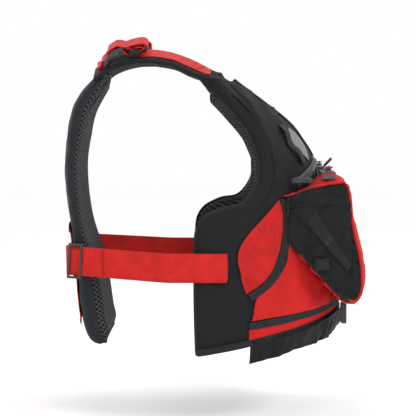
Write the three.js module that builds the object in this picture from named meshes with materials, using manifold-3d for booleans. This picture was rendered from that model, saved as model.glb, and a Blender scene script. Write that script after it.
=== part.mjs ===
// A fishing-style foam life jacket in its worn shape. Millimetres, +Z up.
// The wearer faces -Y and the wearer's left side is +X. The hem's lowest point is near z = 0.
import * as THREE from "three";
import { mergeVertices } from "three/addons/utils/BufferGeometryUtils.js";
import Module from "manifold-3d";

const wasm = await Module();
wasm.setup();

// ---- Driving dimensions -------------------------------------------------------------------------
const GAP = 0.5; // clearance between layers that lie on each other
const LAYER_GAP = 1.5; // clearance under a layer sewn on a curved face
const FOAM_GAP = 2; // clearance round the foam slabs
const CHEST_HALF_WIDTH = 178; // side wing's outer face from the middle, at the chest
const STRAP_HALF_WIDTH = 130; // the same at the top of the front panels
const FORM_CENTRE_Y = 20; // where the front panels' plan curve meets the sides
const PLAN_POWER = 2.3; // 2 is an ellipse, more is squarer
const COVER = 2.5; // outer cover cloth with its lining
const FRONT_FOAM = 36; // foam at the chest and belly
const WING_FOAM = 9; // foam in the side wings
const LINER = 2.5; // spacer mesh
const BACK_HALF_WIDTH = 140;
const BACK_CENTRE_LEAD = 8; // how far the back panel's edges come forward of its middle
const LAYER = 1.5; // sewn-on cloth panel
const ZIP_EDGE_X = 5; // front cover's edge from the middle, along the main zip
const ZIP_BOTTOM_Z = 82;
const ZIP_TOP_Z = 304;
const CHAIN_WIDTH = 7; // closed zip teeth, across
const CHAIN_HEIGHT = 2.4;
const POCKET_X = 150; // pocket's outer side wall
const POCKET_INNER_X = 26; // pocket's wall next to the main zip
const POCKET_WALL = 3;
const SHOULDER_X = 100; // middle of the shoulder straps
const SHOULDER_TILT = 0.28; // straps slope down outwards, radians
const PAD_WIDTH = 62;
const PAD_THICK = 8;
const WEBBING_WIDTH = 42;
const WEBBING = 1.8;
const SIDE_WEBBING_WIDTH = 45;
const SIDE_WEBBING_Z = 160;
const GLIDE_LENGTH = 22; // tri-glide, along the webbing
const GLIDE_BAR = 3.5;
const GLIDE_THICK = 3;
const BELT_WIDTH = 24;
const BUCKLE_WIDTH = 32;
const BUCKLE_THICK = 8;
const BUCKLE_Z = 64;

// ---- Curves of the worn shape -------------------------------------------------------------------
// A smooth curve through [z, value] points, read as value(z).
function profile(points) {
  const slopes = points.map((p, i) => {
    const a = points[Math.max(i - 1, 0)];
    const b = points[Math.min(i + 1, points.length - 1)];
    return (b[1] - a[1]) / (b[0] - a[0]);
  });
  return (z) => {
    let i = points.findIndex((p) => p[0] > z) - 1;
    if (i < -1) i = points.length - 2;
    i = Math.max(i, 0);
    const [z0, v0] = points[i];
    const [z1, v1] = points[i + 1];
    const h = z1 - z0;
    const s = THREE.MathUtils.clamp((z - z0) / h, 0, 1);
    const s2 = s * s;
    const s3 = s2 * s;
    return (2 * s3 - 3 * s2 + 1) * v0 + (s3 - 2 * s2 + s) * h * slopes[i]
      + (3 * s2 - 2 * s3) * v1 + (s3 - s2) * h * slopes[i + 1];
  };
}

// Outer face of the front panels at the middle: straight behind the zip, then back to the shoulder.
const ZIP_SLOPE = 0.187;
const zipLineY = (z) => -164 - (315 - z) * ZIP_SLOPE;
const frontLine = profile([
  [-5, -186], [30, -197], [56, -204], [81, zipLineY(81)], [83, zipLineY(83)], [200, zipLineY(200)],
  [304, zipLineY(304)], [318, zipLineY(318)], [342, -149], [370, -129], [405, -88], [443, -38], [460, -14],
]);
const halfWidth = profile([
  [-5, CHEST_HALF_WIDTH - 4], [120, CHEST_HALF_WIDTH], [300, CHEST_HALF_WIDTH],
  [350, CHEST_HALF_WIDTH - 10], [400, STRAP_HALF_WIDTH + 16], [440, STRAP_HALF_WIDTH],
]);
const backLine = profile([
  [24, 180], [40, 195], [66, 205], [138, 213], [215, 223], [292, 232], [345, 229], [397, 217], [451, 176],
]);
const backThickness = profile([[24, 26], [53, 36], [138, 33], [215, 20], [292, 21], [400, 25], [451, 16]]);

const signedPower = (v, e) => Math.sign(v) * Math.abs(v) ** e;

// A point of the front form's outer face on the wearer's right, theta = 0 at the middle.
function formFace(theta, z) {
  const e = 2 / PLAN_POWER;
  const depth = FORM_CENTRE_Y - frontLine(z);
  return new THREE.Vector3(
    -halfWidth(z) * signedPower(Math.sin(theta), e),
    FORM_CENTRE_Y - depth * signedPower(Math.cos(theta), e), z);
}

// The same point moved out by t along the face's normal.
function form(theta, z, t) {
  const d = 0.02;
  const du = formFace(theta + d, z).sub(formFace(theta - d, z));
  const dv = formFace(theta, z + 2).sub(formFace(theta, z - 2));
  return formFace(theta, z).addScaledVector(du.cross(dv).normalize(), -t);
}

function thetaAtY(y, z) {
  const c = (FORM_CENTRE_Y - y) / (FORM_CENTRE_Y - frontLine(z));
  return Math.acos(THREE.MathUtils.clamp(signedPower(c, PLAN_POWER / 2), -1, 1));
}

function thetaAtX(x, z) {
  return Math.asin(THREE.MathUtils.clamp((x / halfWidth(z)) ** (PLAN_POWER / 2), 0, 1));
}

// ---- Solids -------------------------------------------------------------------------------------
// A closed slab: a box grid whose corners 0..1 in a, b and c go where place(a, b, c) says.
// The grid's back face is split along the same diagonals as its front, so stacked slabs stay parallel.
function slab(na, nb, nc, place) {
  const geometry = new THREE.BoxGeometry(1, 1, 1, na, nb, nc);
  const index = geometry.index.array;
  const { start, count } = geometry.groups[5];
  for (let i = start; i < start + count; i += 6) {
    const [p, q, s, , r] = index.slice(i, i + 6);
    index.set([p, q, r, p, r, s], i);
  }
  const position = geometry.attributes.position;
  for (let i = 0; i < position.count; i++) {
    const p = place(position.getX(i) + 0.5, position.getY(i) + 0.5, position.getZ(i) + 0.5);
    position.setXYZ(i, p.x, p.y, p.z);
  }
  return facingOut(geometry);
}

function welded(geometry) {
  const g = geometry.clone();
  g.deleteAttribute("normal");
  g.deleteAttribute("uv");
  return mergeVertices(g, 1e-4);
}

function volume(geometry) {
  const g = geometry.index ? geometry.toNonIndexed() : geometry;
  const p = g.attributes.position;
  const [a, b, c] = [new THREE.Vector3(), new THREE.Vector3(), new THREE.Vector3()];
  let sum = 0;
  for (let i = 0; i < p.count; i += 3) {
    a.fromBufferAttribute(p, i);
    b.fromBufferAttribute(p, i + 1);
    c.fromBufferAttribute(p, i + 2);
    sum += a.dot(b.cross(c)) / 6;
  }
  return sum;
}

function facingOut(geometry) {
  const g = welded(geometry);
  if (volume(g) < 0) g.setIndex(flipped(g));
  g.computeVertexNormals();
  return g;
}

function flipped(g) {
  const index = Array.from(g.index.array);
  for (let i = 0; i < index.length; i += 3) [index[i + 1], index[i + 2]] = [index[i + 2], index[i + 1]];
  return index;
}

// The left-hand copy of a right-hand piece.
function mirrored(geometry) {
  const g = geometry.clone();
  g.scale(-1, 1, 1);
  return facingOut(g);
}

function toManifold(geometry) {
  const g = welded(geometry);
  return new wasm.Manifold(new wasm.Mesh({
    numProp: 3, vertProperties: new Float32Array(g.attributes.position.array),
    triVerts: new Uint32Array(g.index.array),
  }));
}

function fromManifold(solid) {
  const mesh = solid.getMesh();
  const g = new THREE.BufferGeometry();
  g.setAttribute("position", new THREE.BufferAttribute(Float32Array.from(mesh.vertProperties), 3));
  g.setIndex(Array.from(mesh.triVerts));
  g.computeVertexNormals();
  return g;
}

const union = (first, ...rest) => fromManifold(
  rest.reduce((sum, geometry) => sum.add(toManifold(geometry)), toManifold(first)));

// ---- Sewn panels on the front form --------------------------------------------------------------
// rows run from the hem up; each is [[x or y, z], [x or y, z]] for the panel's two ends.
const atX = (x, z) => [thetaAtX(x, z), z];
const atY = (y, z) => [thetaAtY(y, z), z];

function rowsAt(rows, b) {
  const f = b * (rows.length - 1);
  const i = Math.min(Math.floor(f), rows.length - 2);
  const mix = (k, m) => THREE.MathUtils.lerp(rows[i][k][m], rows[i + 1][k][m], f - i);
  return [[mix(0, 0), mix(0, 1)], [mix(1, 0), mix(1, 1)]];
}

// thickness is [inner, outer] from the form's face, as numbers or as functions of theta.
function formPanel(rows, na, nb, inner, outer) {
  const at = (v, theta) => (typeof v === "function" ? v(theta) : v);
  return slab(na, nb, 1, (a, b, c) => {
    const [p, q] = rowsAt(rows, b);
    const theta = THREE.MathUtils.lerp(p[0], q[0], a);
    const z = THREE.MathUtils.lerp(p[1], q[1], a);
    return form(theta, z, THREE.MathUtils.lerp(at(inner, theta), at(outer, theta), c));
  });
}

// Foam is thick in front and thins into the side wing.
function foamDepth(theta) {
  const s = THREE.MathUtils.smoothstep(theta, 0.85, 1.3);
  return THREE.MathUtils.lerp(FRONT_FOAM, WING_FOAM, s);
}

const HEM_FRONT_Z = 76; // cover's lowest edge at the main zip
const HEM_SIDE_Z = 14; // and at the side wing's rear corner
const frontRows = [
  [atX(ZIP_EDGE_X, HEM_FRONT_Z), atY(22, HEM_SIDE_Z)],
  [atX(ZIP_EDGE_X, 120), atY(24, 80)],
  [atX(ZIP_EDGE_X, 170), atY(24, 150)],
  [atX(ZIP_EDGE_X, 210), atY(18, 215)],
  [atX(ZIP_EDGE_X, 240), atY(-14, 238)],
  [atX(ZIP_EDGE_X, 262), atY(-50, 247)],
  [atX(ZIP_EDGE_X, 285), atY(-76, 280)],
  [atX(8, 312), atY(-80, 310)],
  [atX(18, 342), atY(-74, 340)],
  [atX(32, 368), atY(-60, 370)],
  [atX(48, 400), atY(-40, 395)],
  [atX(60, 424), atY(-12, 420)],
  [atX(65, 441), atY(4, 434)],
];

// Cover, foam and liner share one grid, so their faces stay parallel.
const frontLayer = (inner, outer) => formPanel(frontRows, 10, 14, inner, outer);
const frontCover = () => frontLayer(-COVER, 0);
const frontFoam = () => frontLayer((theta) => -COVER - FOAM_GAP - foamDepth(theta), -COVER - FOAM_GAP);
function frontLiner() {
  const t = (theta) => COVER + 2 * FOAM_GAP + foamDepth(theta);
  return frontLayer((theta) => -t(theta) - LINER, (theta) => -t(theta));
}

const onTop = [LAYER_GAP, LAYER_GAP + LAYER];
const redSidePanel = () => formPanel([
  [atY(-57, 112), atY(-54, 109)], [atY(-74, 122), atY(-48, 126)], [atY(-88, 136), atY(-45, 142)],
  [atY(-99, 157), atY(-41, 162)], [atY(-106, 182), atY(-45, 183)], [atY(-109, 207), atY(-62, 207)],
  [atY(-109, 232), atY(-86, 232)], [atY(-105, 252), atY(-103, 252)],
], 4, 7, ...onTop);

const redLowerPanel = () => formPanel([
  [atY(-200, 90), atY(-62, 66)], [atY(-198, 104), atY(-66, 98)], [atY(-188, 122), atY(-94, 121)],
  [atY(-170, 140), atY(-110, 143)], [atY(-148, 164), atY(-117, 165)], [atY(-122, 188), atY(-120, 188)],
], 8, 5, ...onTop);

// The skirt hangs from the cover's hem, from near the middle to the side.
function waistSkirt() {
  const [p, q] = frontRows[0];
  const hemZ = (theta) => THREE.MathUtils.mapLinear(theta, p[0], q[0], p[1], q[1]) - LAYER_GAP;
  const top = [atY(-190, 60)[0], atY(-38, 20)[0]];
  return formPanel([
    [[top[0] + 0.12, 38], [top[1], -1]], [[top[0], hemZ(top[0])], [top[1], hemZ(top[1])]],
  ], 10, 3, -LAYER, 0);
}

// ---- Chest: slanted pocket zip with slider and pull, daisy chain ---------------------------------
const CHEST_ZIP_TOP = 0.16; // theta at the zip's upper end
const CHEST_ZIP_LOW = 0.68;
const chestZipZ = (theta) => THREE.MathUtils.mapLinear(theta, CHEST_ZIP_TOP, CHEST_ZIP_LOW, 309, 277);
const chainTop = CHAIN_HEIGHT + LAYER_GAP + LAYER;
const CHEST_RUN_END = 0.36; // theta where the slider's straight run ends
const CHEST_RAISE = 2; // extra height at the ends of the straight run

const chestZipPoint = (theta, lift) => form(theta, chestZipZ(theta), lift);
const chestLow = chestZipPoint(CHEST_ZIP_LOW - 0.01, chainTop + CHEST_RAISE);
const chestHigh = chestZipPoint(CHEST_RUN_END, chainTop + CHEST_RAISE);
const chestRun = chestHigh.clone().sub(chestLow).normalize();
const chestOut = (() => {
  const theta = (CHEST_ZIP_LOW + CHEST_RUN_END) / 2;
  const n = chestZipPoint(theta, 1).sub(chestZipPoint(theta, 0));
  return n.addScaledVector(chestRun, -n.dot(chestRun)).normalize();
})();

// The chain's outer face is straight along the slider's run and follows the chest above it.
function chestChainTop(theta) {
  const p = chestZipPoint(theta, chainTop + CHEST_RAISE);
  if (theta < CHEST_RUN_END) return p;
  return chestLow.clone().addScaledVector(chestRun, p.sub(chestLow).dot(chestRun));
}

function chestZip() {
  const tape = formPanel([
    [[CHEST_ZIP_TOP, 302], [CHEST_ZIP_LOW, 270]], [[CHEST_ZIP_TOP, 316], [CHEST_ZIP_LOW, 284]],
  ], 10, 1, ...onTop);
  const across = new THREE.Vector3().crossVectors(chestOut, chestRun);
  const chain = slab(10, 1, 1, (a, b, c) => {
    const theta = THREE.MathUtils.lerp(CHEST_ZIP_TOP + 0.01, CHEST_ZIP_LOW - 0.01, a);
    const low = chestZipPoint(theta, LAYER_GAP + LAYER / 2);
    return low.lerp(chestChainTop(theta), c).addScaledVector(across, (b - 0.5) * CHAIN_WIDTH);
  });
  return union(tape, chain);
}

// A frame from two directions: x along the run, z outwards.
function frameAt(origin, run, out) {
  const across = new THREE.Vector3().crossVectors(out, run);
  return new THREE.Matrix4().makeBasis(run, across, out).setPosition(origin);
}

const SLIDER = { length: 11, width: 9.5, thick: 3, lift: 2.4 };
const PIN_R = 0.9; // pull's pin
const PIN_LENGTH = 5.4;
const LUG_GAP = 0.35;
const ARM = { length: 8, wide: 1.2, thick: 1.8, from: 2.1, back: 3.4 }; // the pull's ring, either side

// A slider plate with a lug for the pull's pin; x along the zip, z outwards, base at z = 0.
function sliderBody() {
  const plate = new THREE.Shape();
  const [l, w] = [SLIDER.length / 2, SLIDER.width / 2];
  plate.moveTo(-l, -w * 0.7);
  plate.lineTo(l * 0.6, -w);
  plate.quadraticCurveTo(l, -w, l, 0);
  plate.quadraticCurveTo(l, w, l * 0.6, w);
  plate.lineTo(-l, w * 0.7);
  const base = new THREE.ExtrudeGeometry(
    plate, { depth: SLIDER.thick, bevelEnabled: false, curveSegments: 4 });
  const arch = new THREE.Shape();
  arch.moveTo(-3.5, SLIDER.thick - 0.5);
  arch.lineTo(3.5, SLIDER.thick - 0.5);
  arch.quadraticCurveTo(3.5, SLIDER.thick + SLIDER.lift + 2, 0, SLIDER.thick + SLIDER.lift + 2);
  arch.quadraticCurveTo(-3.5, SLIDER.thick + SLIDER.lift + 2, -3.5, SLIDER.thick - 0.5);
  const hole = new THREE.Path();
  hole.absarc(0, SLIDER.thick + SLIDER.lift - 0.3, PIN_R + LUG_GAP, 0, Math.PI * 2);
  arch.holes.push(hole);
  const lug = new THREE.ExtrudeGeometry(arch, { depth: 2, bevelEnabled: false, curveSegments: 6 });
  lug.rotateX(Math.PI / 2).translate(0, 1, 0);
  return union(base, lug);
}
const PIN_HEIGHT = SLIDER.thick + SLIDER.lift - 0.3;

const pullPin = () => new THREE.CylinderGeometry(PIN_R, PIN_R, PIN_LENGTH, 8);
const pullArms = () => [-1, 1].map((side) => new THREE.BoxGeometry(ARM.length, ARM.wide, ARM.thick)
  .translate(-ARM.back, side * ARM.from, 0));

// A pull hanging from its pin at the origin, pin along y, body along -x; a ring then a moulded tab.
function pull(length, width, thick) {
  const half = width / 2;
  const outline = new THREE.Shape();
  outline.moveTo(-6.5, -2.7);
  outline.lineTo(-12, -half);
  outline.lineTo(-length + 3, -half);
  outline.quadraticCurveTo(-length, -half, -length, 0);
  outline.quadraticCurveTo(-length, half, -length + 3, half);
  outline.lineTo(-12, half);
  outline.lineTo(-6.5, 2.7);
  const tab = new THREE.ExtrudeGeometry(outline, { depth: thick, bevelEnabled: false, curveSegments: 4 });
  tab.translate(0, 0, -thick / 2);
  return union(tab, pullPin(), ...pullArms());
}

const placed = (geometry, matrix) => facingOut(geometry.clone().applyMatrix4(matrix));

const SLIDER_GAP = 0.6; // over the chain
const chestSliderFrame = frameAt(
  chestLow.clone().addScaledVector(chestRun, SLIDER.length / 2 + 2), chestRun, chestOut);
const chestSlider = () => placed(sliderBody().translate(0, 0, SLIDER_GAP), chestSliderFrame);

// A frame at a slider's pin for the pull, which hangs the given way.
function hangingFrame(sliderFrame, down, out) {
  const pin = new THREE.Vector3(0, 0, PIN_HEIGHT + SLIDER_GAP).applyMatrix4(sliderFrame);
  return frameAt(pin, down.clone().negate(), out);
}

const CORD = 2.6;
const CHEST_TAB = {
  length: 32, height: 10, thick: 3.2,
  beyond: 14.5, // outwards from the slider
  behind: 3, // its middle, behind the slider
  over: 4, // clearance over the pocket's lid
};

// The chest pull: a stiff cord that leaves the slider along the zip and bends down to a moulded
// tab just above the pocket's lid.
function chestPull() {
  const frame = hangingFrame(chestSliderFrame, chestRun.clone().negate(), chestOut);
  const bridge = new THREE.BoxGeometry(2, PIN_LENGTH, 2.4).translate(-7.4, 0, 0);
  const yoke = placed(union(pullPin(), bridge, ...pullArms()), frame);
  const start = new THREE.Vector3(-7.5, 0, 0).applyMatrix4(frame);
  const tabX = start.x - CHEST_TAB.beyond;
  const tabY = start.y + CHEST_TAB.behind;
  const lidUnderTab = lidZ(-tabX, tabY - CHEST_TAB.length / 2) + POCKET_WALL;
  const rest = lidUnderTab + CHEST_TAB.over + CHEST_TAB.height / 2;
  const tabCentre = new THREE.Vector3(tabX, tabY, rest);
  const path = new THREE.CatmullRomCurve3([
    start, new THREE.Vector3(tabX + 5, start.y, start.z - 2), tabCentre.clone().setZ(rest + 2), tabCentre,
  ]);
  const cord = slab(1, 12, 1, (a, b, c) => {
    const across = new THREE.Vector3(0, 1, 0);
    const out = new THREE.Vector3().crossVectors(across, path.getTangentAt(b)).normalize();
    return path.getPointAt(b)
      .addScaledVector(across, (a - 0.5) * CORD).addScaledVector(out, (c - 0.5) * CORD);
  });
  const tab = new THREE.BoxGeometry(CHEST_TAB.thick, CHEST_TAB.length, CHEST_TAB.height);
  return union(yoke, cord, tab.translate(tabCentre.x, tabCentre.y, tabCentre.z));
}

function daisyChain() {
  const line = [[-112, 362], [-122, 336], [-143, 309]];
  const pointAt = (b) => {
    const f = b * 2;
    const i = Math.min(Math.floor(f), 1);
    return [0, 1].map((m) => THREE.MathUtils.lerp(line[i][m], line[i + 1][m], f - i));
  };
  return slab(1, 16, 1, (a, b, c) => {
    const [y, z] = pointAt(b);
    const theta = thetaAtY(y, z) + 0.05 + (a - 0.5) * 0.1;
    const arch = 3.5 * Math.sin(Math.PI * ((b * 2) % 1)) ** 2;
    return form(theta, z, LAYER_GAP + arch + c * LAYER);
  });
}

// ---- Main zip -------------------------------------------------------------------------------------
const zipUp = new THREE.Vector3(0, ZIP_SLOPE, 1).normalize();
const zipOut = new THREE.Vector3(0, -1, ZIP_SLOPE).normalize();

function mainZipHalf() {
  const edge = ZIP_EDGE_X + 12;
  const tape = formPanel([
    [atX(ZIP_EDGE_X, ZIP_BOTTOM_Z), atX(edge, ZIP_BOTTOM_Z)],
    [atX(ZIP_EDGE_X, ZIP_TOP_Z), atX(edge, ZIP_TOP_Z)],
  ], 2, 4, ...onTop);
  const middle = frameAt(new THREE.Vector3(0, zipLineY(ZIP_BOTTOM_Z), ZIP_BOTTOM_Z), zipUp, zipOut);
  const length = (ZIP_TOP_Z - ZIP_BOTTOM_Z) / zipUp.z;
  const teeth = new THREE.BoxGeometry(length - 1, ZIP_EDGE_X + 1.2, CHAIN_HEIGHT);
  teeth.translate(length / 2, -(ZIP_EDGE_X + 1.2) / 2 - 0.2, LAYER_GAP + LAYER / 2 + CHAIN_HEIGHT / 2);
  const placedTeeth = placed(teeth, middle);
  if (new THREE.Box3().setFromBufferAttribute(placedTeeth.attributes.position).max.x > 0.1) {
    placedTeeth.scale(-1, 1, 1);
  }
  return union(tape, facingOut(placedTeeth));
}

const mainZipTop = LAYER_GAP + LAYER / 2 + CHAIN_HEIGHT;
const mainSliderZ = ZIP_TOP_Z - 10;
const mainSliderAt = new THREE.Vector3(0, zipLineY(mainSliderZ), mainSliderZ)
  .addScaledVector(zipOut, mainZipTop);
const mainSliderFrame = frameAt(mainSliderAt, zipUp, zipOut);
const mainSlider = () => placed(sliderBody().translate(0, 0, SLIDER_GAP), mainSliderFrame);

// The stiff pull stands up and forward from the slider.
const PULL_RISE = 0.62; // radians from the zip's outward direction, upwards
const [riseCos, riseSin] = [Math.cos(PULL_RISE), Math.sin(PULL_RISE)];
const pullUp = zipOut.clone().multiplyScalar(riseCos).addScaledVector(zipUp, riseSin);
const mainPullOut = zipUp.clone().multiplyScalar(riseCos).addScaledVector(zipOut, -riseSin);
const mainPull = () => placed(pull(24, 11, 4), hangingFrame(mainSliderFrame, pullUp, mainPullOut));

// ---- Cargo pocket ----------------------------------------------------------------------------------
const pocketFrontY = profile([
  [92, -226], [110, -232], [135, -232], [163, -229], [197, -221], [225, -216], [256, -214], [276, -209],
]);
const POCKET_TOP_FRONT_Z = 274;
const POCKET_BOTTOM_Z = 95;

const panelY = (x, z) => form(thetaAtX(x, z), z, 0).y;

// Height of the pocket's underside: level at the front, then rising back along the front panel.
const POCKET_UNDER_Y = -206;
const POCKET_UNDER_RISE = 1.083;
const UNDER_CLEAR = 6; // from the lower panel to the underside's rear edge
const underZ = (y) => POCKET_BOTTOM_Z + Math.max(0, y - POCKET_UNDER_Y) * POCKET_UNDER_RISE;

// Where the underside meets the front panel's face.
function underBackY(x) {
  let y = POCKET_UNDER_Y - 14;
  while (panelY(x, underZ(y)) - LAYER_GAP - LAYER - UNDER_CLEAR > y) y += 0.5;
  return y;
}

// Right-hand front wall with the underside in one piece, curved back to the panel beside the zip.
const FRONT_SHARE = 0.4; // share of the grid that the underside takes
function pocketFront() {
  return slab(8, 10, 1, (a, b, c) => {
    const x = THREE.MathUtils.lerp(POCKET_INNER_X, POCKET_X - POCKET_WALL - GAP, a ** 1.5);
    const cornerY = pocketFrontY(POCKET_BOTTOM_Z) + 2;
    const side = Math.max(0, 1 - a / 0.25) ** 2;
    if (b < FRONT_SHARE) {
      const y = THREE.MathUtils.lerp(underBackY(x), cornerY, b / FRONT_SHARE);
      const wall = c * POCKET_WALL;
      return new THREE.Vector3(-x, y - wall * 0.4, underZ(y) + side * 3 + wall * 0.9 - 3);
    }
    const up = (b - FRONT_SHARE) / (1 - FRONT_SHARE);
    const z = THREE.MathUtils.lerp(POCKET_BOTTOM_Z + 1, POCKET_TOP_FRONT_Z, up);
    const depth = panelY(x, z) - LAYER_GAP - LAYER - POCKET_WALL - 1 - pocketFrontY(z);
    const sag = side * depth;
    return new THREE.Vector3(-x, pocketFrontY(z) + sag + (1 - c) * -POCKET_WALL + POCKET_WALL, z);
  });
}

// Side wall, an outline in y and z extruded across.
const REAR_CLEAR = 7; // least room from the side wall's rear edge to the front panel
function pocketGusset() {
  const front = (z) => pocketFrontY(z) + 1;
  const rear = (y, z) => Math.min(y, panelY(POCKET_X - POCKET_WALL, z) - REAR_CLEAR);
  const outline = new THREE.Shape();
  outline.moveTo(rear(-121, 190), 190);
  outline.lineTo(rear(-120, 256), 256);
  outline.quadraticCurveTo(-140, 270, -160, 271);
  outline.lineTo(-196, 276);
  outline.lineTo(front(276), 276);
  for (const z of [256, 225, 197, 163, 135, 110, 95]) outline.lineTo(front(z), z);
  outline.lineTo(-203, 101);
  return placedGusset(outline, POCKET_X);
}

function placedGusset(outline, x) {
  const g = new THREE.ExtrudeGeometry(
    outline, { depth: POCKET_WALL, bevelEnabled: false, curveSegments: 4 });
  // Shape x becomes y, shape y becomes z, and the depth runs along -x from the outer face.
  const m = new THREE.Matrix4().makeBasis(
    new THREE.Vector3(0, 1, 0), new THREE.Vector3(0, 0, 1), new THREE.Vector3(1, 0, 0));
  g.applyMatrix4(m).translate(-x, 0, 0);
  return facingOut(g);
}

const LID_CROWN = 17;
function lidZ(x, y) {
  const base = THREE.MathUtils.mapLinear(y, -118, -207, 258, 277);
  const crown = LID_CROWN * Math.exp(-(((y + 178) / 24) ** 2));
  return base + crown * (1 - (x / (POCKET_X + 4)) ** 6);
}

// The lid closes the pocket's top; its back edge follows the front panel.
function pocketLid() {
  return slab(6, 8, 1, (a, b, c) => {
    const x = THREE.MathUtils.lerp(POCKET_INNER_X, POCKET_X - POCKET_WALL - GAP, a);
    const back = panelY(x, 268) - LAYER - 2 * GAP - 2;
    const y = THREE.MathUtils.lerp(back, pocketFrontY(276) + 5, b);
    return new THREE.Vector3(-x, y, lidZ(x, y) + 1.5 + c * POCKET_WALL);
  });
}

const LID_ZIP_Y = -182;
const LID_TAPE = 22; // both tape halves together
const lidTop = lidZ(0, LID_ZIP_Y) + 1.5 + POCKET_WALL;
const lidZipZ = lidTop + GAP + LAYER + CHAIN_HEIGHT;
const LID_ZIP_X = [POCKET_INNER_X + 8, POCKET_X - 14];

// Zip tape on the lid with the closed teeth along its middle, their top level.
function pocketZip() {
  const at = (a) => THREE.MathUtils.lerp(LID_ZIP_X[0], LID_ZIP_X[1], a);
  const tape = slab(8, 4, 1, (a, b, c) => {
    const y = LID_ZIP_Y + (b - 0.5) * LID_TAPE;
    return new THREE.Vector3(-at(a), y, lidZ(at(a), y) + 1.5 + POCKET_WALL + GAP + c * LAYER);
  });
  const teeth = slab(8, 1, 1, (a, b, c) => {
    const x = THREE.MathUtils.lerp(LID_ZIP_X[0] + 0.5, LID_ZIP_X[1] - 0.5, a);
    const y = LID_ZIP_Y + (b - 0.5) * CHAIN_WIDTH;
    const low = lidZ(x, y) + 1.5 + POCKET_WALL + GAP + LAYER / 2;
    return new THREE.Vector3(-x, y, THREE.MathUtils.lerp(low, lidZipZ, c));
  });
  return union(tape, teeth);
}

const lidSliderAt = new THREE.Vector3(-(LID_ZIP_X[1] - 10), LID_ZIP_Y, lidZipZ);
const lidSliderFrame = frameAt(lidSliderAt, new THREE.Vector3(1, 0, 0), new THREE.Vector3(0, 0, 1));
const pocketSlider = () => placed(sliderBody().translate(0, 0, SLIDER_GAP), lidSliderFrame);
const pocketPull = () => placed(
  pull(26, 10, 2.5), hangingFrame(lidSliderFrame, new THREE.Vector3(-1, 0, 0), new THREE.Vector3(0, 0, 1)));

// ---- Back panel --------------------------------------------------------------------------------------
// u runs -1..1 across; t is the depth from the outer face inwards, as a share or in millimetres.
const BACK_TOP_Z = 446;
const BACK_NECK_Z = 398;
const backHalf = (z) => BACK_HALF_WIDTH + 4 * Math.sin(Math.PI * z / 260)
  - 10 * THREE.MathUtils.smoothstep(z, 330, 449);

// The top edge dips at the neck and falls outwards under the straps.
function backTopZ(u) {
  const fall = Math.max(0, Math.abs(u) * BACK_HALF_WIDTH - SHOULDER_X) * Math.tan(SHOULDER_TILT);
  const rise = THREE.MathUtils.smoothstep(Math.abs(u), 0.15, 0.5);
  return THREE.MathUtils.lerp(BACK_NECK_Z, BACK_TOP_Z, rise) - fall;
}

function backPoint(u, b, inwards) {
  const z = THREE.MathUtils.lerp(26 + 10 * u * u, backTopZ(u), b);
  const x = u * backHalf(z);
  return new THREE.Vector3(x, backLine(z) - BACK_CENTRE_LEAD * u * u - inwards, z);
}

function backSlab(from, to) {
  return slab(12, 12, 1, (a, b, c) => {
    const u = 2 * a - 1;
    const z = THREE.MathUtils.lerp(26 + 10 * u * u, backTopZ(u), b);
    return backPoint(u, b, THREE.MathUtils.lerp(from(z), to(z), c));
  });
}

const backCover = () => backSlab(() => 0, () => COVER);
const backFoam = () => backSlab(
  () => COVER + FOAM_GAP, (z) => backThickness(z) - LINER - FOAM_GAP);
const backLiner = () => backSlab((z) => backThickness(z) - LINER, (z) => backThickness(z));
const backRedPanel = () => slab(10, 6, 1, (a, b, c) => {
  const u = (2 * a - 1) * 0.9;
  const z = THREE.MathUtils.lerp(62, 133, b);
  const y = backLine(z) - BACK_CENTRE_LEAD * u * u + LAYER_GAP + c * LAYER;
  return new THREE.Vector3(u * backHalf(z), y, z);
});

// ---- Shoulder straps ---------------------------------------------------------------------------------
// The strap's middle line in y and z, from the back panel's top over the shoulder to the front panel.
const strapLine = new THREE.CatmullRomCurve3([
  [172, 453], [146, 465], [120, 472], [92, 473], [60, 468], [30, 456], [10, 447], [-8, 441.5],
].map(([y, z]) => new THREE.Vector3(0, y, z)));
const STRAP_SKEW = 0.56; // the front end follows the slanted top of the front panel

// across is positive away from the neck; lift is above the strap's middle line.
function strapPoint(s, across, lift) {
  const p = strapLine.getPointAt(s);
  const tangent = strapLine.getTangentAt(s);
  const up = new THREE.Vector3(0, tangent.z, -tangent.y).normalize();
  if (up.z < 0) up.negate();
  const skew = STRAP_SKEW * THREE.MathUtils.smoothstep(s, 0.6, 1);
  const x = SHOULDER_X + across * Math.cos(SHOULDER_TILT) + lift * Math.sin(SHOULDER_TILT);
  const drop = across * Math.sin(SHOULDER_TILT);
  return new THREE.Vector3(-x, p.y + up.y * lift + across * skew, p.z + up.z * lift - drop);
}

const strapPiece = (s0, s1, half, low, high, n) => slab(2, n, 1, (a, b, c) => strapPoint(
  THREE.MathUtils.lerp(s0, s1, b), (2 * a - 1) * half, THREE.MathUtils.lerp(low, high, c)));

const padTop = PAD_THICK / 2;
const shoulderPad = () => strapPiece(0, 0.985, PAD_WIDTH / 2, -padTop, padTop, 12);
const shoulderWebbing = () => strapPiece(
  0.27, 0.97, WEBBING_WIDTH / 2, padTop + GAP, padTop + GAP + WEBBING, 12);
const anchorWebbing = () => strapPiece(
  0.01, 0.075, WEBBING_WIDTH / 2, padTop + GAP, padTop + GAP + WEBBING, 3);

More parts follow.
